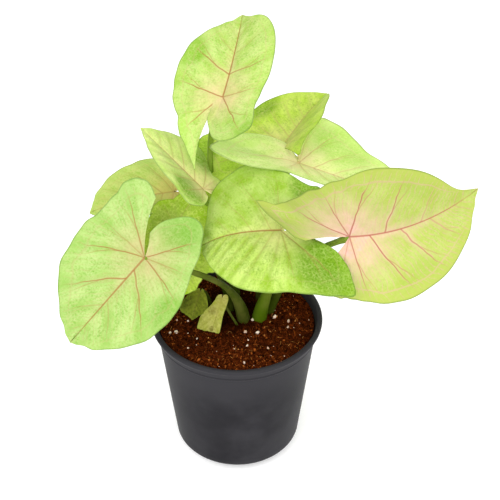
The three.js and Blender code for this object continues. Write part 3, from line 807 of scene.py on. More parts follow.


def soil_material(dark_peat_and_shade, dry):
    """Peat, lighter and redder with the crumb's own tone, and darkened among the stalks as painted
    shade.
    """
    material, g, surface = new_material("potting_soil")
    patch, grain = speckles(g, 430.0, 1700.0)
    tone = g.wires("ShaderNodeAttribute", attribute_name="tone")["Fac"]
    colour = g.mix(g.step(patch * grain, 0.16, 0.42), dark_peat_and_shade, dry)
    colour = g.mix(tone * 0.8, colour, dry)
    colour = g.mix(g.step(tone, 0.66, 0.95) * 0.8, colour, PEAT_ORANGE)
    colour = g.mix(g.step(tone, 0.93, 1.0), colour, PEAT_GOLD)
    spot = {0: g.place(), 1: STALK_SHADE_SPOT}
    away = g.wires("ShaderNodeVectorMath", spot, operation="DISTANCE")["Value"]
    # painted shade: the peat darkens towards the middle of the stalks' feet
    colour = g.mix(g.fall(away, *STALK_SHADE_REACH, 0.85), colour, dark_peat_and_shade)
    matt = {"Color": colour, "Normal": g.bump(grain, 0.5 * MM, 0.9)}
    g.feed(surface, g.wire("ShaderNodeBsdfDiffuse", matt))
    return material


PERLITE_WHITE, PERLITE_STAIN = (0.88, 0.74, 0.62), (0.55, 0.30, 0.18)


def perlite_material():
    material, g, surface = new_material("perlite")
    patch, grain = speckles(g, 350.0, 1500.0)
    colour = g.mix(g.step(patch, 0.35, 0.7), PERLITE_WHITE, PERLITE_STAIN)
    g.feed(surface, g.principled(colour, 0.8, g.bump(grain, 0.3 * MM, 0.8), 0.3))
    return material


# ---------------------------------------------------------------- pot

POT_HEIGHT, POT_RIM, POT_LIP, POT_NECK = 100, 54, 8, 50.2
POT_HEEL, POT_HEEL_HEIGHT, POT_FOOT = 40.2, 9, 31.3
POT_WALL, POT_CHAMFER_WALL, POT_FLOOR, POT_BEAD = 1.4, 1.96, 3, 1.0
DRAIN_COUNT, DRAIN_TURN, DRAIN_RADIUS, DRAIN_HOLE = 5, 29, 24, 4
DRAIN_SLOT, DRAIN_DEPTH = 5, 1.6


def outer_radius(z):
    drop = 1 - min(1, z / POT_HEEL_HEIGHT)
    slope = (POT_NECK - POT_HEEL) / (POT_HEIGHT - POT_LIP - POT_HEEL_HEIGHT)
    return POT_HEEL + slope * max(0, z - POT_HEEL_HEIGHT) - (POT_HEEL - POT_FOOT) * drop**1.5


def inner_radius(z):
    drop = 1 - min(1, z / POT_HEEL_HEIGHT)
    return outer_radius(z) - POT_WALL - (POT_CHAMFER_WALL - POT_WALL) * drop


def arc(centre, height, radius, start, end, steps):
    """Points on a round stretch of a profile, from start to end in degrees."""
    turns = [math.radians(start + (end - start) * k / steps) for k in range(steps + 1)]
    return [(centre + radius * math.cos(a), height + radius * math.sin(a)) for a in turns]


def pot_profile(lip_round):
    """Up the outside past the bead, over the lip, down the inside and across the floor."""
    neck = POT_HEIGHT - POT_LIP
    heights = [POT_HEEL_HEIGHT * k / 8 for k in range(9)]
    heights += [12, 30, 50, 70, 82, neck - 3.2, neck - 2.4]
    inside = inner_radius(neck)
    return [
        *((outer_radius(z), z) for z in heights),
        *arc(outer_radius(neck - 1.3), neck - 1.3, POT_BEAD, -90, 90, 8),
        (POT_NECK + 0.5, neck), (POT_NECK + 1.1, neck + 0.15), (POT_NECK + 1.5, neck + 0.5),
        (POT_NECK + 1.7, neck + 1.6), (POT_RIM - 1.7, neck + 3.6), (POT_RIM - 0.9, neck + 5.0),
        *arc(POT_RIM - lip_round, POT_HEIGHT - lip_round, lip_round, -45, 180, 14),
        (inside + 1.0, neck + 3.5), (inside + 0.2, neck + 1.0),
        *((inner_radius(z), z) for z in (neck, 70, 40, 9, 6, 4)),
        (inner_radius(4) - 1.0, POT_FLOOR), (12, POT_FLOOR), (0, POT_FLOOR),
    ]


class PLANT_OT_pot(bpy.types.Operator):
    """Turn the nursery pot, and pierce its drain holes and slots"""

    bl_idname = "plant.pot"
    bl_label = "Nursery Pot"

    def execute(self, context):
        settings = context.scene.plant_pot
        pot = turned_body("nursery_pot", pot_profile(settings.lip_round / MM), settings.segments)
        cutters = []
        reach = POT_HEEL - DRAIN_RADIUS
        for k in range(DRAIN_COUNT):
            turn = math.radians(DRAIN_TURN) + 2 * math.pi * k / DRAIN_COUNT
            aim = Vector((math.cos(turn), math.sin(turn), 0))
            deselect()
            bpy.ops.mesh.primitive_cylinder_add(
                vertices=32, radius=DRAIN_HOLE * MM, depth=4 * POT_FLOOR * MM,
                location=aim * DRAIN_RADIUS * MM,
            )
            cutters.append(new_object("drain_hole"))
            deselect()
            bpy.ops.mesh.primitive_cube_add(
                size=1, location=aim * (DRAIN_RADIUS + reach / 2) * MM, rotation=(0, 0, turn)
            )
            cutters.append(new_object("drain_slot"))
            cutters[-1].scale = (reach * MM, DRAIN_SLOT * MM, 2 * DRAIN_DEPTH * MM)
        for cutter in cutters:
            cut = pot.modifiers.new("drain", "BOOLEAN")
            cut.operation = "DIFFERENCE"
            cut.solver = "EXACT"
            cut.object = cutter
        apply_modifiers(pot)
        for cutter in cutters:
            bpy.data.objects.remove(cutter)
        dress(pot, plastic_material(tuple(settings.plastic)))
        settle(pot, "pot_plastic", "pot", crease=35)
        return {"FINISHED"}


# ---------------------------------------------------------------- soil

SOIL_LEVEL, SOIL_CROWN, SOIL_LUMP, GAP = 95, 2.5, 1.1, 0.3
SOIL_EDGE = inner_radius(SOIL_LEVEL)
SOIL_RINGS, SOIL_SEGMENTS = 66, 220
CLODS = ((7.0, 1.6, 2), (1.6, 1.7, 3), (0.7, 0.8, 1))  # size, height and depth of noise
DRY_LEFT, DRY_FRONT = -38, -34  # past these the crumbs are drier
CRUMB_SEED, PERLITE_SEED = 7, 21
WALL_GAP, FIBRE_INSET, PERLITE_INSET = 1.2, 1.5, 3  # how far the loose things lie from the wall
CRUMB_CLEAR, FIBRE_CLEAR, PERLITE_CLEAR = 0.6, 0.4, 2.0  # and from the stalks
CRUMB_SHAPES, PERLITE_SHAPES, FIBRE_RINGS = 6, 4, 5
CRUMB_LEAST, CRUMB_SPREAD = 0.28, 0.75  # size of the smallest, and how much larger others are


def soil_height(x, y):
    """Height of the crumbly, slightly crowned soil, in mm."""
    crumble = (
        0.34 * np.sin(0.83 * x + 0.31 * y) * np.cos(0.27 * x - 0.71 * y)
        + 0.33 * np.sin(1.37 * y - 0.52 * x + 1.3)
        + 0.33 * np.cos(1.21 * x + 0.94 * y + 0.6)
    )
    inward = 1 - (x * x + y * y) / (SOIL_EDGE - GAP) ** 2
    lump = SOIL_LUMP * np.clip(4 * inward, 0, 1) * crumble
    return SOIL_LEVEL + SOIL_CROWN * np.clip(inward, 0, 1) + lump


class PLANT_OT_soil(bpy.types.Operator):
    """Fill the pot with coconut peat, rough and cloddy on top"""

    bl_idname = "plant.soil"
    bl_label = "Soil"

    def execute(self, context):
        settings = context.scene.plant_soil
        edge = SOIL_EDGE - GAP
        sides = (POT_FLOOR + GAP, 6, 9, 20, 50, 80, 92, SOIL_LEVEL)
        profile = [(inner_radius(z) - GAP, z) for z in sides]
        profile += [(edge * (1 - k / SOIL_RINGS), SOIL_LEVEL) for k in range(1, SOIL_RINGS + 1)]
        soil = turned_body("coconut_peat", profile, SOIL_SEGMENTS)
        surface = soil.vertex_groups.new(name="surface")
        for vertex in soil.data.vertices:
            x, y, z = vertex.co / MM
            if z > SOIL_LEVEL - 0.5:
                vertex.co.z = soil_height(x, y) * MM
                surface.add([vertex.index], min(1.0, (edge - math.hypot(x, y)) / 3), "REPLACE")
        for size, height, depth in CLODS:
            texture = bpy.data.textures.new("clods", "CLOUDS")
            texture.noise_scale = size * MM
            texture.noise_depth = depth
            modifier = soil.modifiers.new("clods", "DISPLACE")
            modifier.texture = texture
            modifier.texture_coords = "GLOBAL"
            modifier.strength = height * MM
            modifier.mid_level = 0.5
            modifier.direction = "Z"
            modifier.vertex_group = "surface"
        apply_modifiers(soil)
        dress(soil, soil_material(tuple(settings.dark_peat_and_shade), tuple(settings.dry)))
        settle(soil, "potting_soil", "soil", crease=50)
        return {"FINISHED"}


def clear_of_stalks(x, y, margin):
    stalks = (leaf["stalk"] for leaf in LEAVES.values())
    return all(math.hypot(x - foot[0], y - foot[1]) > radius + margin for foot, radius, _ in stalks)


def scatter(draw, count, margin, edge):
    """Places on the soil, in mm, clear of the stalks and of the wall."""
    spots = []
    while len(spots) < count:
        x, y = draw.uniform(-edge, edge), draw.uniform(-edge, edge)
        if math.hypot(x, y) < edge and clear_of_stalks(x, y, margin):
            spots.append((x, y))
    return spots


def merged_copies(name, copies, material):
    """One piece from many copies, each its points, faces and tone."""
    points, faces, tones, start = [], [], [], 0
    for verts, polys, tone in copies:
        points.append(verts)
        faces.extend(tuple(v + start for v in poly) for poly in polys)
        tones.extend([tone] * len(verts))
        start += len(verts)
    mesh = bpy.data.meshes.new(name)
    mesh.from_pydata(np.concatenate(points) * MM, [], faces)
    mesh.attributes.new("tone", "FLOAT", "POINT").data.foreach_set("value", tones)
    mesh.materials.append(material)
    obj = bpy.data.objects.new(name, mesh)
    bpy.context.scene.collection.objects.link(obj)
    settle(obj, "potting_soil")


def lump_shape(subdivisions, draw, rough):
    """An uneven lump of radius 1 as points and faces."""
    deselect()
    bpy.ops.mesh.primitive_ico_sphere_add(subdivisions=subdivisions, radius=1)
    lump = bpy.context.object
    bpy.ops.object.mode_set(mode="EDIT")
    bpy.ops.transform.vertex_random(offset=rough, uniform=0.6, seed=draw.randrange(9999))
    bpy.ops.object.mode_set(mode="OBJECT")
    points = np.array([v.co for v in lump.data.vertices])
    faces = [tuple(p.vertices) for p in lump.data.polygons]
    bpy.data.objects.remove(lump)
    return points, faces


def turned(points, draw):
    """Points turned a random way about the origin."""
    turns = [Matrix.Rotation(draw.uniform(0, 2 * math.pi), 3, axis) for axis in "ZXY"]
    return points @ np.array(turns[0] @ turns[1] @ turns[2]).T


class PLANT_OT_crumbs(bpy.types.Operator):
    """Strew crumbs of peat and coconut fibres over the soil"""

    bl_idname = "plant.crumbs"
    bl_label = "Crumbs and Fibres"

    def execute(self, context):
        settings = context.scene.plant_soil
        draw = random.Random(CRUMB_SEED)
        shapes = [lump_shape(1, draw, 0.5) for _ in range(CRUMB_SHAPES)]
        edge = SOIL_EDGE - WALL_GAP
        spots = scatter(draw, settings.crumbs, CRUMB_CLEAR, edge)
        copies = [self.crumb(draw, x, y, shapes) for x, y in spots]
        spots = scatter(draw, settings.fibres, FIBRE_CLEAR, edge - FIBRE_INSET)
        copies += [self.fibre(draw, x, y) for x, y in spots]
        merged_copies("peat_crumbs", copies, bpy.data.objects["coconut_peat"].data.materials[0])
        return {"FINISHED"}

    @staticmethod
    def crumb(draw, x, y, shapes):
        points, faces = draw.choice(shapes)
        size = CRUMB_LEAST + CRUMB_SPREAD * draw.random() ** 2.2
        stretch = np.array([1, draw.uniform(0.45, 1), draw.uniform(0.4, 0.9)])
        placed = turned(points * stretch, draw) * size
        height = float(soil_height(x, y)) + draw.uniform(-0.2, 0.8)
        tone = draw.random() ** 2.4
        if y < DRY_FRONT or x < DRY_LEFT:
            tone = min(0.94, tone + 0.25)
        return placed + (x, y, height), faces, tone

    @staticmethod
    def fibre(draw, x, y):
        """A three-sided thread, which tapers and arches a little."""
        length, heading = draw.uniform(0.9, 4.2), draw.uniform(0, 2 * math.pi)
        curl, radius = draw.uniform(-0.5, 0.5), draw.uniform(0.07, 0.15)
        lift = draw.uniform(0.3, 1.4)
        points, faces = [], []
        for k in range(FIBRE_RINGS):
            along = k / (FIBRE_RINGS - 1)
            turn = heading + curl * along
            here_x = x + length * (along - 0.5) * math.cos(turn)
            here_y = y + length * (along - 0.5) * math.sin(turn)
            height = float(soil_height(here_x, here_y)) + 0.55 + lift * math.sin(math.pi * along)
            side = np.array([-math.sin(turn), math.cos(turn), 0])
            taper = radius * (1 - 0.6 * abs(2 * along - 1))
            for corner in range(3):
                angle = 2 * math.pi * corner / 3
                offset = side * math.cos(angle) + (0, 0, math.sin(angle))
                points.append(np.array([here_x, here_y, height]) + offset * taper)
                if k:
                    a, b = 3 * (k - 1), 3 * k
                    after = (corner + 1) % 3
                    faces.append((a + corner, b + corner, b + after, a + after))
        end = 3 * FIBRE_RINGS
        faces += [(0, 1, 2), (end - 1, end - 2, end - 3)]
        return np.array(points), faces, 0.20 + 0.80 * draw.random() ** 1.5


# Place of each large grain in mm, and its size across.
LARGE_GRAINS = (
    (-37.6, -12.8, 2.6), (-41.6, -12.8, 2.0), (-37.8, -1.1, 1.6), (-30.8, -2.6, 1.5),
    (10.0, -2.1, 2.4), (12.6, -1.8, 1.8), (23.8, 0.4, 2.7), (32.6, -2.6, 2.1), (32.1, -8.4, 1.7),
    (5.5, -13.7, 2.3), (13.0, -14.2, 2.5), (6.5, -26.0, 1.7), (7.1, -21.3, 1.4),
    (19.4, -28.4, 1.7), (4.7, -40.9, 1.8), (-29.9, -27.0, 1.5), (-24.6, -19.0, 1.3),
)


class PLANT_OT_perlite(bpy.types.Operator):
    """Sprinkle white perlite grains over the soil"""

    bl_idname = "plant.perlite"
    bl_label = "Perlite"

    def execute(self, context):
        draw = random.Random(PERLITE_SEED)
        shapes = [lump_shape(2, draw, 0.28) for _ in range(PERLITE_SHAPES)]
        count = context.scene.plant_soil.perlite
        spots = scatter(draw, count, PERLITE_CLEAR, SOIL_EDGE - PERLITE_INSET)
        small = [(x, y, draw.uniform(0.5, 0.9)) for x, y in spots]
        copies = []
        for x, y, across in (*LARGE_GRAINS, *small):
            points, faces = draw.choice(shapes)
            height = float(soil_height(x, y)) + 0.9
            placed = turned(points * (1, 0.85, 0.7), draw) * across / 2 + (x, y, height)
            copies.append((placed, faces, 0.5))
        merged_copies("perlite", copies, perlite_material())
        return {"FINISHED"}


# ---------------------------------------------------------------- blades

MIDRIB_SHARE, MIDRIB_POWER = 0.5, 1.25  # how much of the mesh's rays start on the midrib
OUTWARD_POWER = 1.35  # the mesh is finer near the midrib
SMALL_BLADE = 40  # length in mm up to which the mesh is half as fine
NOTCH_DEPTH, NOTCHES = 0.007, (41, 73)  # share of the radius, and turns along the margin
WAVE_HEIGHT, WAVES = 0.018, 2.6  # share of the length, and how many along the margin
SWAY_HEIGHTS, SWAY_LENGTHS = (0.22, 0.16), (6.1, 8.3, 4.3)  # in mm
TIP_BOW, CLEFT_BOW = -0.12, 0.22  # how far a ray bows, as a share of its length
MIDRIB_WIDTH, VEIN_WIDTH, VEIN_KEEL = 1.5, 0.8, 0.35  # in mm, and as a share of the keel


def smooth(value, low, high):
    share = np.clip((value - low) / (high - low), 0, 1)
    return share * share * (3 - 2 * share)


def through_points(points, t):
    """A Catmull-Rom curve through points, at shares t of its length in points."""
    points = np.asarray(points, float)
    last = len(points) - 1
    place = last * np.asarray(t, float)
    k = np.minimum(np.floor(place).astype(int), last)
    w = (place - k)[:, None]
    before, here, after, beyond = (points[np.clip(k + n, 0, last)] for n in (-1, 0, 1, 2))
    start, end = (after - before) / 2, (beyond - here) / 2
    cubic = 2 * here - 2 * after + start + end
    square = -3 * here + 3 * after - 2 * start - end
    return cubic * w**3 + square * w**2 + start * w + here


def bent_strip(length, full, angle, power):
    """How far a strip that bends down steadily faster reaches: along, down, and its slope."""
    middles = (np.arange(24) + 0.5) / 24
    angle = math.radians(angle)
    slopes = angle * (length[..., None] * middles / full) ** power
    along, down = (way(slopes).mean(-1) * length for way in (np.cos, np.sin))
    return along, down, angle * (length / full) ** power


def bend_points(leaf, half, side, x, y, raised):
    """Bends flat places of one half into the blade's own frame."""
    tip_bend, sweep, trough = leaf["bend"]
    fold, lobe_bend, _, radii = half
    length, half_width = radii[0], 0.6 * radii[0]
    curl = math.radians(fold) / half_width or 1e-6
    start = -math.radians(trough)
    across = (np.sin(start + curl * x) - math.sin(start)) / curl
    lift = raised + (np.cos(start + curl * x) - math.cos(start)) / curl
    ahead = y >= 0
    front = bent_strip(np.abs(y), length, tip_bend, 1.5)
    back = bent_strip(np.abs(y), half_width, lobe_bend, 1.0)
    along, slope = (np.where(ahead, front[k], -back[k]) for k in (0, 2))
    down = np.where(ahead, front[1], back[1])
    sideways = np.where(ahead, math.radians(sweep) * y * y / length / 2, 0)
    return np.stack(
        (side * across + sideways, along + lift * np.sin(slope), lift * np.cos(slope) - down), -1
    )


def leaf_axes(leaf):
    """The blade's own right, forward and up."""
    heading, rise, roll = (math.radians(a) for a in leaf["aim"])
    forward = np.array(
        (math.cos(heading) * math.cos(rise), math.sin(heading) * math.cos(rise), math.sin(rise))
    )
    level = np.array((math.sin(heading), -math.cos(heading), 0))
    right = level * math.cos(roll) + np.cross(forward, level) * math.sin(roll)
    return right, forward, np.cross(right, forward)


def spread_angles(angles, cleft):
    """Angles at the junction, of which those past the lobe's shoulder are spread to the cleft."""
    spread = (cleft - SHOULDER) / (OUTLINE[-1] - SHOULDER)
    return [a + (spread - 1) * max(0, a - SHOULDER) for a in angles]


def vein_knots(leaf, key):
    """Where each vein lies in the rays: share of the rays, angle, number of the line, strength."""
    cleft = leaf[key][2]
    side_veins, lobe_veins = leaf.get(key + "_veins", (SIDE_VEINS, None))
    if lobe_veins is None:
        angles, strengths = zip(*LOBE_VEINS)
        lobe_veins = list(zip(spread_angles(angles, min(cleft, 190)), strengths))
    knots = [(0, 0, 0.5, 0)]
    for line, (station, angle, strength) in enumerate(side_veins, 1):
        knots.append((MIDRIB_SHARE * (1 - station ** (1 / MIDRIB_POWER)), angle, line, strength))
    first = lobe_veins[0][0]
    for line, (angle, strength) in enumerate(lobe_veins, len(side_veins) + 1):
        share = (angle - first) / (cleft - first)
        knots.append((MIDRIB_SHARE + (1 - MIDRIB_SHARE) * share, angle, line, strength))
    knots.append((1, cleft, len(side_veins) + len(lobe_veins) + 0.5, 0))
    return zip(*knots)


class BladeChart:
    """One half of a blade, drawn flat as rays from the midrib or junction to the margin."""

    def __init__(self, leaf, key, side, t, s):
        half = leaf[key]
        _, _, cleft, radii = half
        length, *phases = radii[:6]
        knot_t, knot_angle, knot_line, knot_strength = vein_knots(leaf, key)

        # the margin, slightly uneven
        shares = np.linspace(0, 1, 1201)
        plain = list(zip(spread_angles(OUTLINE, cleft), radii))
        outline = through_points(leaf.get(key + "_outline", plain), shares)
        margin = np.interp(t, knot_t, knot_angle)
        along = np.interp(margin, outline[:, 0], shares)
        radius = np.interp(margin, outline[:, 0], outline[:, 1])
        notch = np.sin(NOTCHES[0] * along + phases[1])
        notch = notch + 0.7 * np.sin(NOTCHES[1] * along + phases[4])
        radius = radius * (1 + NOTCH_DEPTH * notch * smooth(along, 0.02, 0.1))
        turn = np.radians(margin)
        edge = np.stack((radius * np.sin(turn), radius * np.cos(turn)), -1)

        # the rays, which bow towards the tip and round the cleft
        station = length * np.clip(1 - t / MIDRIB_SHARE, 0, 1) ** MIDRIB_POWER
        start = np.stack((np.zeros_like(station), station), -1)
        run = edge - start
        sideways = np.stack((-run[:, 1], run[:, 0]), -1)
        bow = CLEFT_BOW * np.clip((along - 0.8) / 0.2, 0, 1)
        bow = bow + TIP_BOW * np.clip(2 * (edge[:, 1] / length + 0.3), 0, 1)
        flat = start[:, None] + run[:, None] * s[None, :, None]
        flat = flat + sideways[:, None] * (bow[:, None] * s * (1 - s))[..., None]
        self.x, self.y = flat[..., 0], flat[..., 1]

        # the veins' lines, their strength and the space between them
        lines = np.interp(t, knot_t, knot_line)
        self.line = np.repeat(lines[:, None], len(s), 1)
        self.strength = np.repeat(np.interp(t, knot_t, knot_strength)[:, None], len(s), 1)
        step, way = np.gradient(flat, t, axis=0), np.gradient(flat, s, axis=1)
        way = way / np.maximum(np.linalg.norm(way, axis=-1, keepdims=True), 1e-6)
        pace = np.maximum(np.gradient(lines, t), 1e-3)
        self.span = np.abs(step[..., 0] * way[..., 1] - step[..., 1] * way[..., 0]) / pace[:, None]

        # the surface: a rippled margin, quilts between the veins, a gentle sway and a lapping lobe
        wave = np.sin(2 * math.pi * WAVES * along + phases[2])
        wave = WAVE_HEIGHT * length * smooth(along, 0, 0.15) * wave
        fraction = self.line - np.floor(self.line)
        hill = np.sin(math.pi * fraction) ** 0.8
        body = smooth(s, 0, 0.14) * (1 - smooth(s, 0.70, 1.0))
        quilt = leaf["quilt"] * hill * body * np.clip(self.span / 9, 0, 1)
        near, wide, skew = SWAY_LENGTHS
        sway = np.sin(self.x / near + phases[3]) * np.cos(self.y / wide + phases[1])
        skewed = np.sin((self.x + self.y) / skew + phases[0])
        sway = SWAY_HEIGHTS[0] * sway + SWAY_HEIGHTS[1] * skewed
        rise = wave[:, None] * s**3 + quilt + sway * smooth(s, 0, 0.3)
        if key == "right" and "lap" in leaf:
            offset, slope, first, last = leaf["lap"]
            rise = rise + slope * np.maximum(0, offset - self.x) * smooth(-self.y, first, last)
        place = bend_points(leaf, half, side, self.x, self.y, rise)
        self.points = np.array(leaf["at"], float) + place @ np.stack(leaf_axes(leaf))

        # where the blade is thick: along the midrib, and along the foot of each vein
        tip_share = np.clip(self.y / length, 0, 1)
        rib = np.exp(-((self.x / (MIDRIB_WIDTH - 0.9 * tip_share)) ** 2)) * (1 - 0.8 * tip_share)
        near_line = np.minimum(fraction, 1 - fraction) * self.span
        vein = np.exp(-((near_line / VEIN_WIDTH) ** 2)) * self.strength * (1 - s) * VEIN_KEEL
        self.keel = np.maximum(rib * smooth(self.y, -3, 0), vein)


def half_blade(leaf, key, side, settings):
    """One half of a blade as a sheet, with its maps and its thickness."""
    fine = 1.0 if leaf["right"][3][0] > SMALL_BLADE else 0.5
    deselect()
    bpy.ops.mesh.primitive_grid_add(
        x_subdivisions=int(settings.rays * fine), y_subdivisions=int(settings.steps * fine), size=1
    )
    half = bpy.context.object
    mesh = half.data
    grid = np.array([vertex.co.xy for vertex in mesh.vertices])
    columns, i = np.unique(np.round(grid[:, 0] + 0.5, 5), return_inverse=True)
    rows, j = np.unique(np.round(grid[:, 1] + 0.5, 5), return_inverse=True)
    t, s = np.linspace(0, 1, len(columns)), np.linspace(0, 1, len(rows)) ** OUTWARD_POWER
    chart = BladeChart(leaf, key, side, t, s)
    mesh.vertices.foreach_set("co", (chart.points[i, j] * MM).ravel())
    while mesh.uv_layers:
        mesh.uv_layers.remove(mesh.uv_layers[0])
    corner = [loop.vertex_index for loop in mesh.loops]
    for name, u, v in (
        ("veins", chart.line[i, j], s[j]),
        ("flat", side * chart.x[i, j] / 100, chart.y[i, j] / 100),
        ("span", chart.span[i, j] / 100, chart.strength[i, j]),
    ):
        layer = mesh.uv_layers.new(name=name)
        layer.data.foreach_set("uv", np.stack((u[corner], v[corner]), -1).ravel())
    thin = settings.thickness / settings.keel
    keel = half.vertex_groups.new(name="keel")
    for index, weight in enumerate(thin + (1 - thin) * chart.keel[i, j]):
        keel.add([index], float(weight), "REPLACE")
    if side < 0:
        bpy.ops.object.mode_set(mode="EDIT")
        bpy.ops.mesh.select_all(action="SELECT")
        bpy.ops.mesh.flip_normals()
        bpy.ops.object.mode_set(mode="OBJECT")
    return half


BLADE_SLOTS = {  # by tone
    "pink": "leaf_pink",
    "netted": "leaf_shaded",
    "olive": "leaf_shaded",
    "withered": "leaf_withered",
}


class PLANT_OT_blades(bpy.types.Operator):
    """Draw each blade flat on both sides of its midrib, bend it, join it and thicken it"""

    bl_idname = "plant.blades"
    bl_label = "Leaf Blades"

    def execute(self, context):
        settings = context.scene.plant_foliage
        sides = (("right", 1), ("left", -1))
        for name, leaf in LEAVES.items():
            take(*[half_blade(leaf, key, side, settings) for key, side in sides])
            bpy.ops.object.join()
            blade = new_object(name + "_leaf")
            merge_doubles(2e-6, face_outwards=False)
            upper = blade_material(name + "_upper", leaf)
            dress(blade, upper, blade_material(name + "_under", leaf, under=True))
            shell = blade.modifiers.new("thickness", "SOLIDIFY")
            shell.thickness = settings.keel
            shell.offset = -1
            shell.vertex_group = "keel"
            shell.material_offset = 1
            apply_modifiers(blade)
            slot = BLADE_SLOTS.get(leaf.get("tone"), "leaf_lime")
            settle(blade, slot, name + "_blade", crease=60)
        return {"FINISHED"}


# ---------------------------------------------------------------- petioles

STALK_BURIED, STALK_STEPS = 14, 56
STALK_DROP, STALK_CAP = 1.5, 0.7  # how far it ends under the blade, and its last ring's rise


def bezier(controls, t):
    a, b, c, d = (np.array(p, float) for p in controls)
    t = t[:, None]
    return a * (1 - t) ** 3 + 3 * b * t * (1 - t) ** 2 + 3 * c * t**2 * (1 - t) + d * t**3


def stalk_path(leaf):
    """Points and radii of a petiole, evenly spaced from under the soil to the blade."""
    _, forward, up = leaf_axes(leaf)
    (x, y), thick, thin = leaf["stalk"]
    end = np.array(leaf["at"], float) - STALK_DROP * up
    start = np.array((x, y, SOIL_LEVEL - STALK_BURIED), float)
    reach = np.linalg.norm(end - start)
    lean_x, lean_y = leaf.get("lean", (0, 0))
    rising = (x + lean_x, y + lean_y, start[2] + 0.5 * reach)
    arriving = leaf.get("via", end - 0.2 * reach * (up + forward))
    fine = bezier((start, rising, arriving, end), np.linspace(0, 1, 600))
    lengths = np.concatenate(([0], np.cumsum(np.linalg.norm(np.diff(fine, axis=0), axis=1))))
    shares = np.linspace(0, 1, STALK_STEPS)
    path = np.stack([np.interp(shares * lengths[-1], lengths, fine[:, k]) for k in range(3)], -1)
    radii = thin + (thick - thin) * (1 - smooth(shares, 0.12, 0.55))
    radii = radii * (1 + 0.16 * smooth(shares, 0.90, 0.96) - 0.36 * smooth(shares, 0.965, 1.0))
    path[-1] += STALK_CAP * up
    return path, radii


def poly_curve(points, closed=False):
    """Makes the active curve one line of straight pieces. points hold x, y, z and a radius."""
    curve = bpy.context.object
    curve.data.splines.clear()
    spline = curve.data.splines.new("POLY")
    spline.points.add(len(points) - 1)
    spline.use_cyclic_u = closed
    for point, (*place, radius) in zip(spline.points, points):
        point.co = (*place, 1)
        point.radius = radius
    return curve


def grooved_section(sides):
    """A closed curve of radius 1 with a shallow groove, the section of a petiole."""
    deselect()
    bpy.ops.curve.primitive_bezier_circle_add(radius=1)
    turns = [2 * math.pi * k / sides for k in range(sides)]
    grooves = [1 - 0.16 * math.exp(-((turn - math.pi) / 0.45) ** 2) for turn in turns]
    points = [(g * math.cos(a), g * math.sin(a), 0, 1) for a, g in zip(turns, grooves)]
    return poly_curve(points, closed=True)


class PLANT_OT_petioles(bpy.types.Operator):
    """Sweep each petiole from the soil to its blade, stout in the sheath and slim above"""

    bl_idname = "plant.petioles"
    bl_label = "Petioles"

    def execute(self, context):
        section = grooved_section(context.scene.plant_foliage.sides)
        for name, leaf in LEAVES.items():
            deselect()
            bpy.ops.curve.primitive_nurbs_path_add()
            path, radii = stalk_path(leaf)
            stalk = poly_curve(np.column_stack((path, radii)) * MM)
            stalk.data.dimensions = "3D"
            stalk.data.twist_mode = "MINIMUM"
            stalk.data.bevel_mode = "OBJECT"
            stalk.data.bevel_object = section
            stalk.data.use_fill_caps = True
            take(stalk)
            bpy.ops.object.convert(target="MESH")
            stalk = new_object(name + "_stalk")
            merge_doubles(1e-6)
            dress(stalk, petiole_material(leaf.get("bark", "green")))
            settle(stalk, "petiole", name + "_petiole", crease=60)
        bpy.data.objects.remove(section)
        return {"FINISHED"}


# ---------------------------------------------------------------- stage

CAMERA_PLACE = Vector((8.3, -670.9, 657.0)) * MM
CAMERA_AIM = Vector((8.3, 0.0, 151.5)) * MM
CAMERA_LENS = 99.475
LAMP_AIM = Vector((0, 0, 0.12))
LAMPS = {  # place and size in metres, and share of the key lamp's power
    "key_lamp": ((-0.55, -0.85, 1.15), 1.0, 1.0),
    "top_lamp": ((0.25, 0.35, 1.5), 1.1, 0.2),
    "front_lamp": ((0.22, -1.20, 0.70), 1.0, 0.85),
    "side_lamp": ((0.85, -0.30, 1.10), 0.9, 0.32),
}
WHITE = (1.0, 1.0, 1.0, 1.0)
FLOOR_GLOW = 0.22


def place_aimed(context, name, data, place, target):
    """Puts a lamp or camera at a place, looking at its target."""
    obj = bpy.data.objects.new(name, data)
    obj.location = place
    obj.rotation_euler = (target - obj.location).to_track_quat("-Z", "Y").to_euler()
    context.scene.collection.objects.link(obj)
    return obj


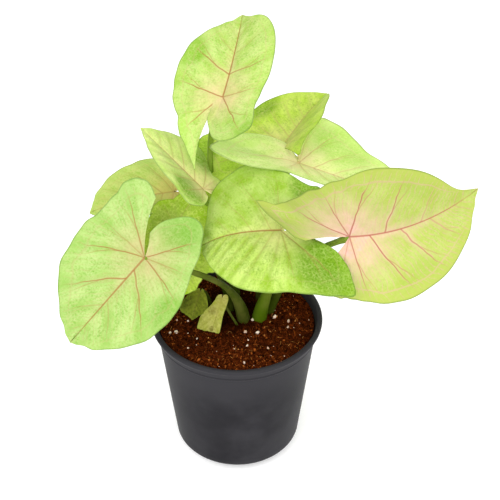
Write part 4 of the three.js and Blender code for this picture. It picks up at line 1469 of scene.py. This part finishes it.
class PLANT_OT_stage(bpy.types.Operator):
    """Lay a pale floor, and set up soft studio light and the camera"""

    bl_idname = "plant.stage"
    bl_label = "Stage"

    def execute(self, context):
        settings = context.scene.plant_stage
        deselect()
        bpy.ops.mesh.primitive_plane_add(size=6, location=(0, 0, 0))
        floor = new_object("floor")
        material, g, surface = new_material("pale_floor")
        colour = tuple(settings.floor)
        patch, _ = speckles(g, 3.0, 120.0)
        shade = g.mix(patch, colour, tuple(0.985 * c for c in colour))
        glow = {"Emission Color": WHITE, "Emission Strength": FLOOR_GLOW}
        g.feed(surface, g.principled(shade, 0.8, None, 0.2, **glow))
        dress(floor, material)

        world = bpy.data.worlds.new("studio")
        context.scene.world = world
        world.use_nodes = True
        sky = world.node_tree.nodes["Background"].inputs
        sky["Color"].default_value = WHITE
        sky["Strength"].default_value = settings.sky

        for name, (place, size, share) in LAMPS.items():
            lamp = bpy.data.lights.new(name, "AREA")
            lamp.shape = "DISK"
            lamp.size = size
            lamp.energy = share * settings.key
            place_aimed(context, name, lamp, place, LAMP_AIM)

        lens = bpy.data.cameras.new("camera")
        lens.sensor_width = 36
        lens.lens = CAMERA_LENS
        camera = place_aimed(context, "camera", lens, CAMERA_PLACE, CAMERA_AIM)
        context.scene.camera = camera
        context.scene.view_settings.view_transform = "Standard"
        return {"FINISHED"}


# ---------------------------------------------------------------- sidebar and registration

PANEL_ROWS = {
    "plant_pot": (PotSettings, PLANT_OT_pot),
    "plant_soil": (SoilSettings, PLANT_OT_soil, PLANT_OT_crumbs, PLANT_OT_perlite),
    "plant_foliage": (FoliageSettings, PLANT_OT_blades, PLANT_OT_petioles),
    "plant_stage": (StageSettings, PLANT_OT_stage),
}


class PLANT_PT_sidebar(bpy.types.Panel):
    bl_label = "Arrowhead Plant"
    bl_idname = "PLANT_PT_sidebar"
    bl_space_type = "VIEW_3D"
    bl_region_type = "UI"
    bl_category = "Plant"

    def draw(self, context):
        for group, (settings, *operators) in PANEL_ROWS.items():
            box = self.layout.box()
            for name in settings.__annotations__:
                box.prop(getattr(context.scene, group), name)
            for operator in operators:
                box.operator(operator.bl_idname)


CLASSES = (*(cls for row in PANEL_ROWS.values() for cls in row), PLANT_PT_sidebar)


def register():
    for cls in CLASSES:
        bpy.utils.register_class(cls)
    for name, row in PANEL_ROWS.items():
        setattr(bpy.types.Scene, name, bpy.props.PointerProperty(type=row[0]))


def unregister():
    for name in PANEL_ROWS:
        delattr(bpy.types.Scene, name)
    for cls in reversed(CLASSES):
        bpy.utils.unregister_class(cls)


def main():
    register()
    bpy.ops.plant.pot()
    bpy.ops.plant.soil()
    bpy.ops.plant.crumbs()
    bpy.ops.plant.perlite()
    bpy.ops.plant.blades()
    bpy.ops.plant.petioles()
    bpy.ops.plant.stage()


if __name__ == "__main__":
    main()
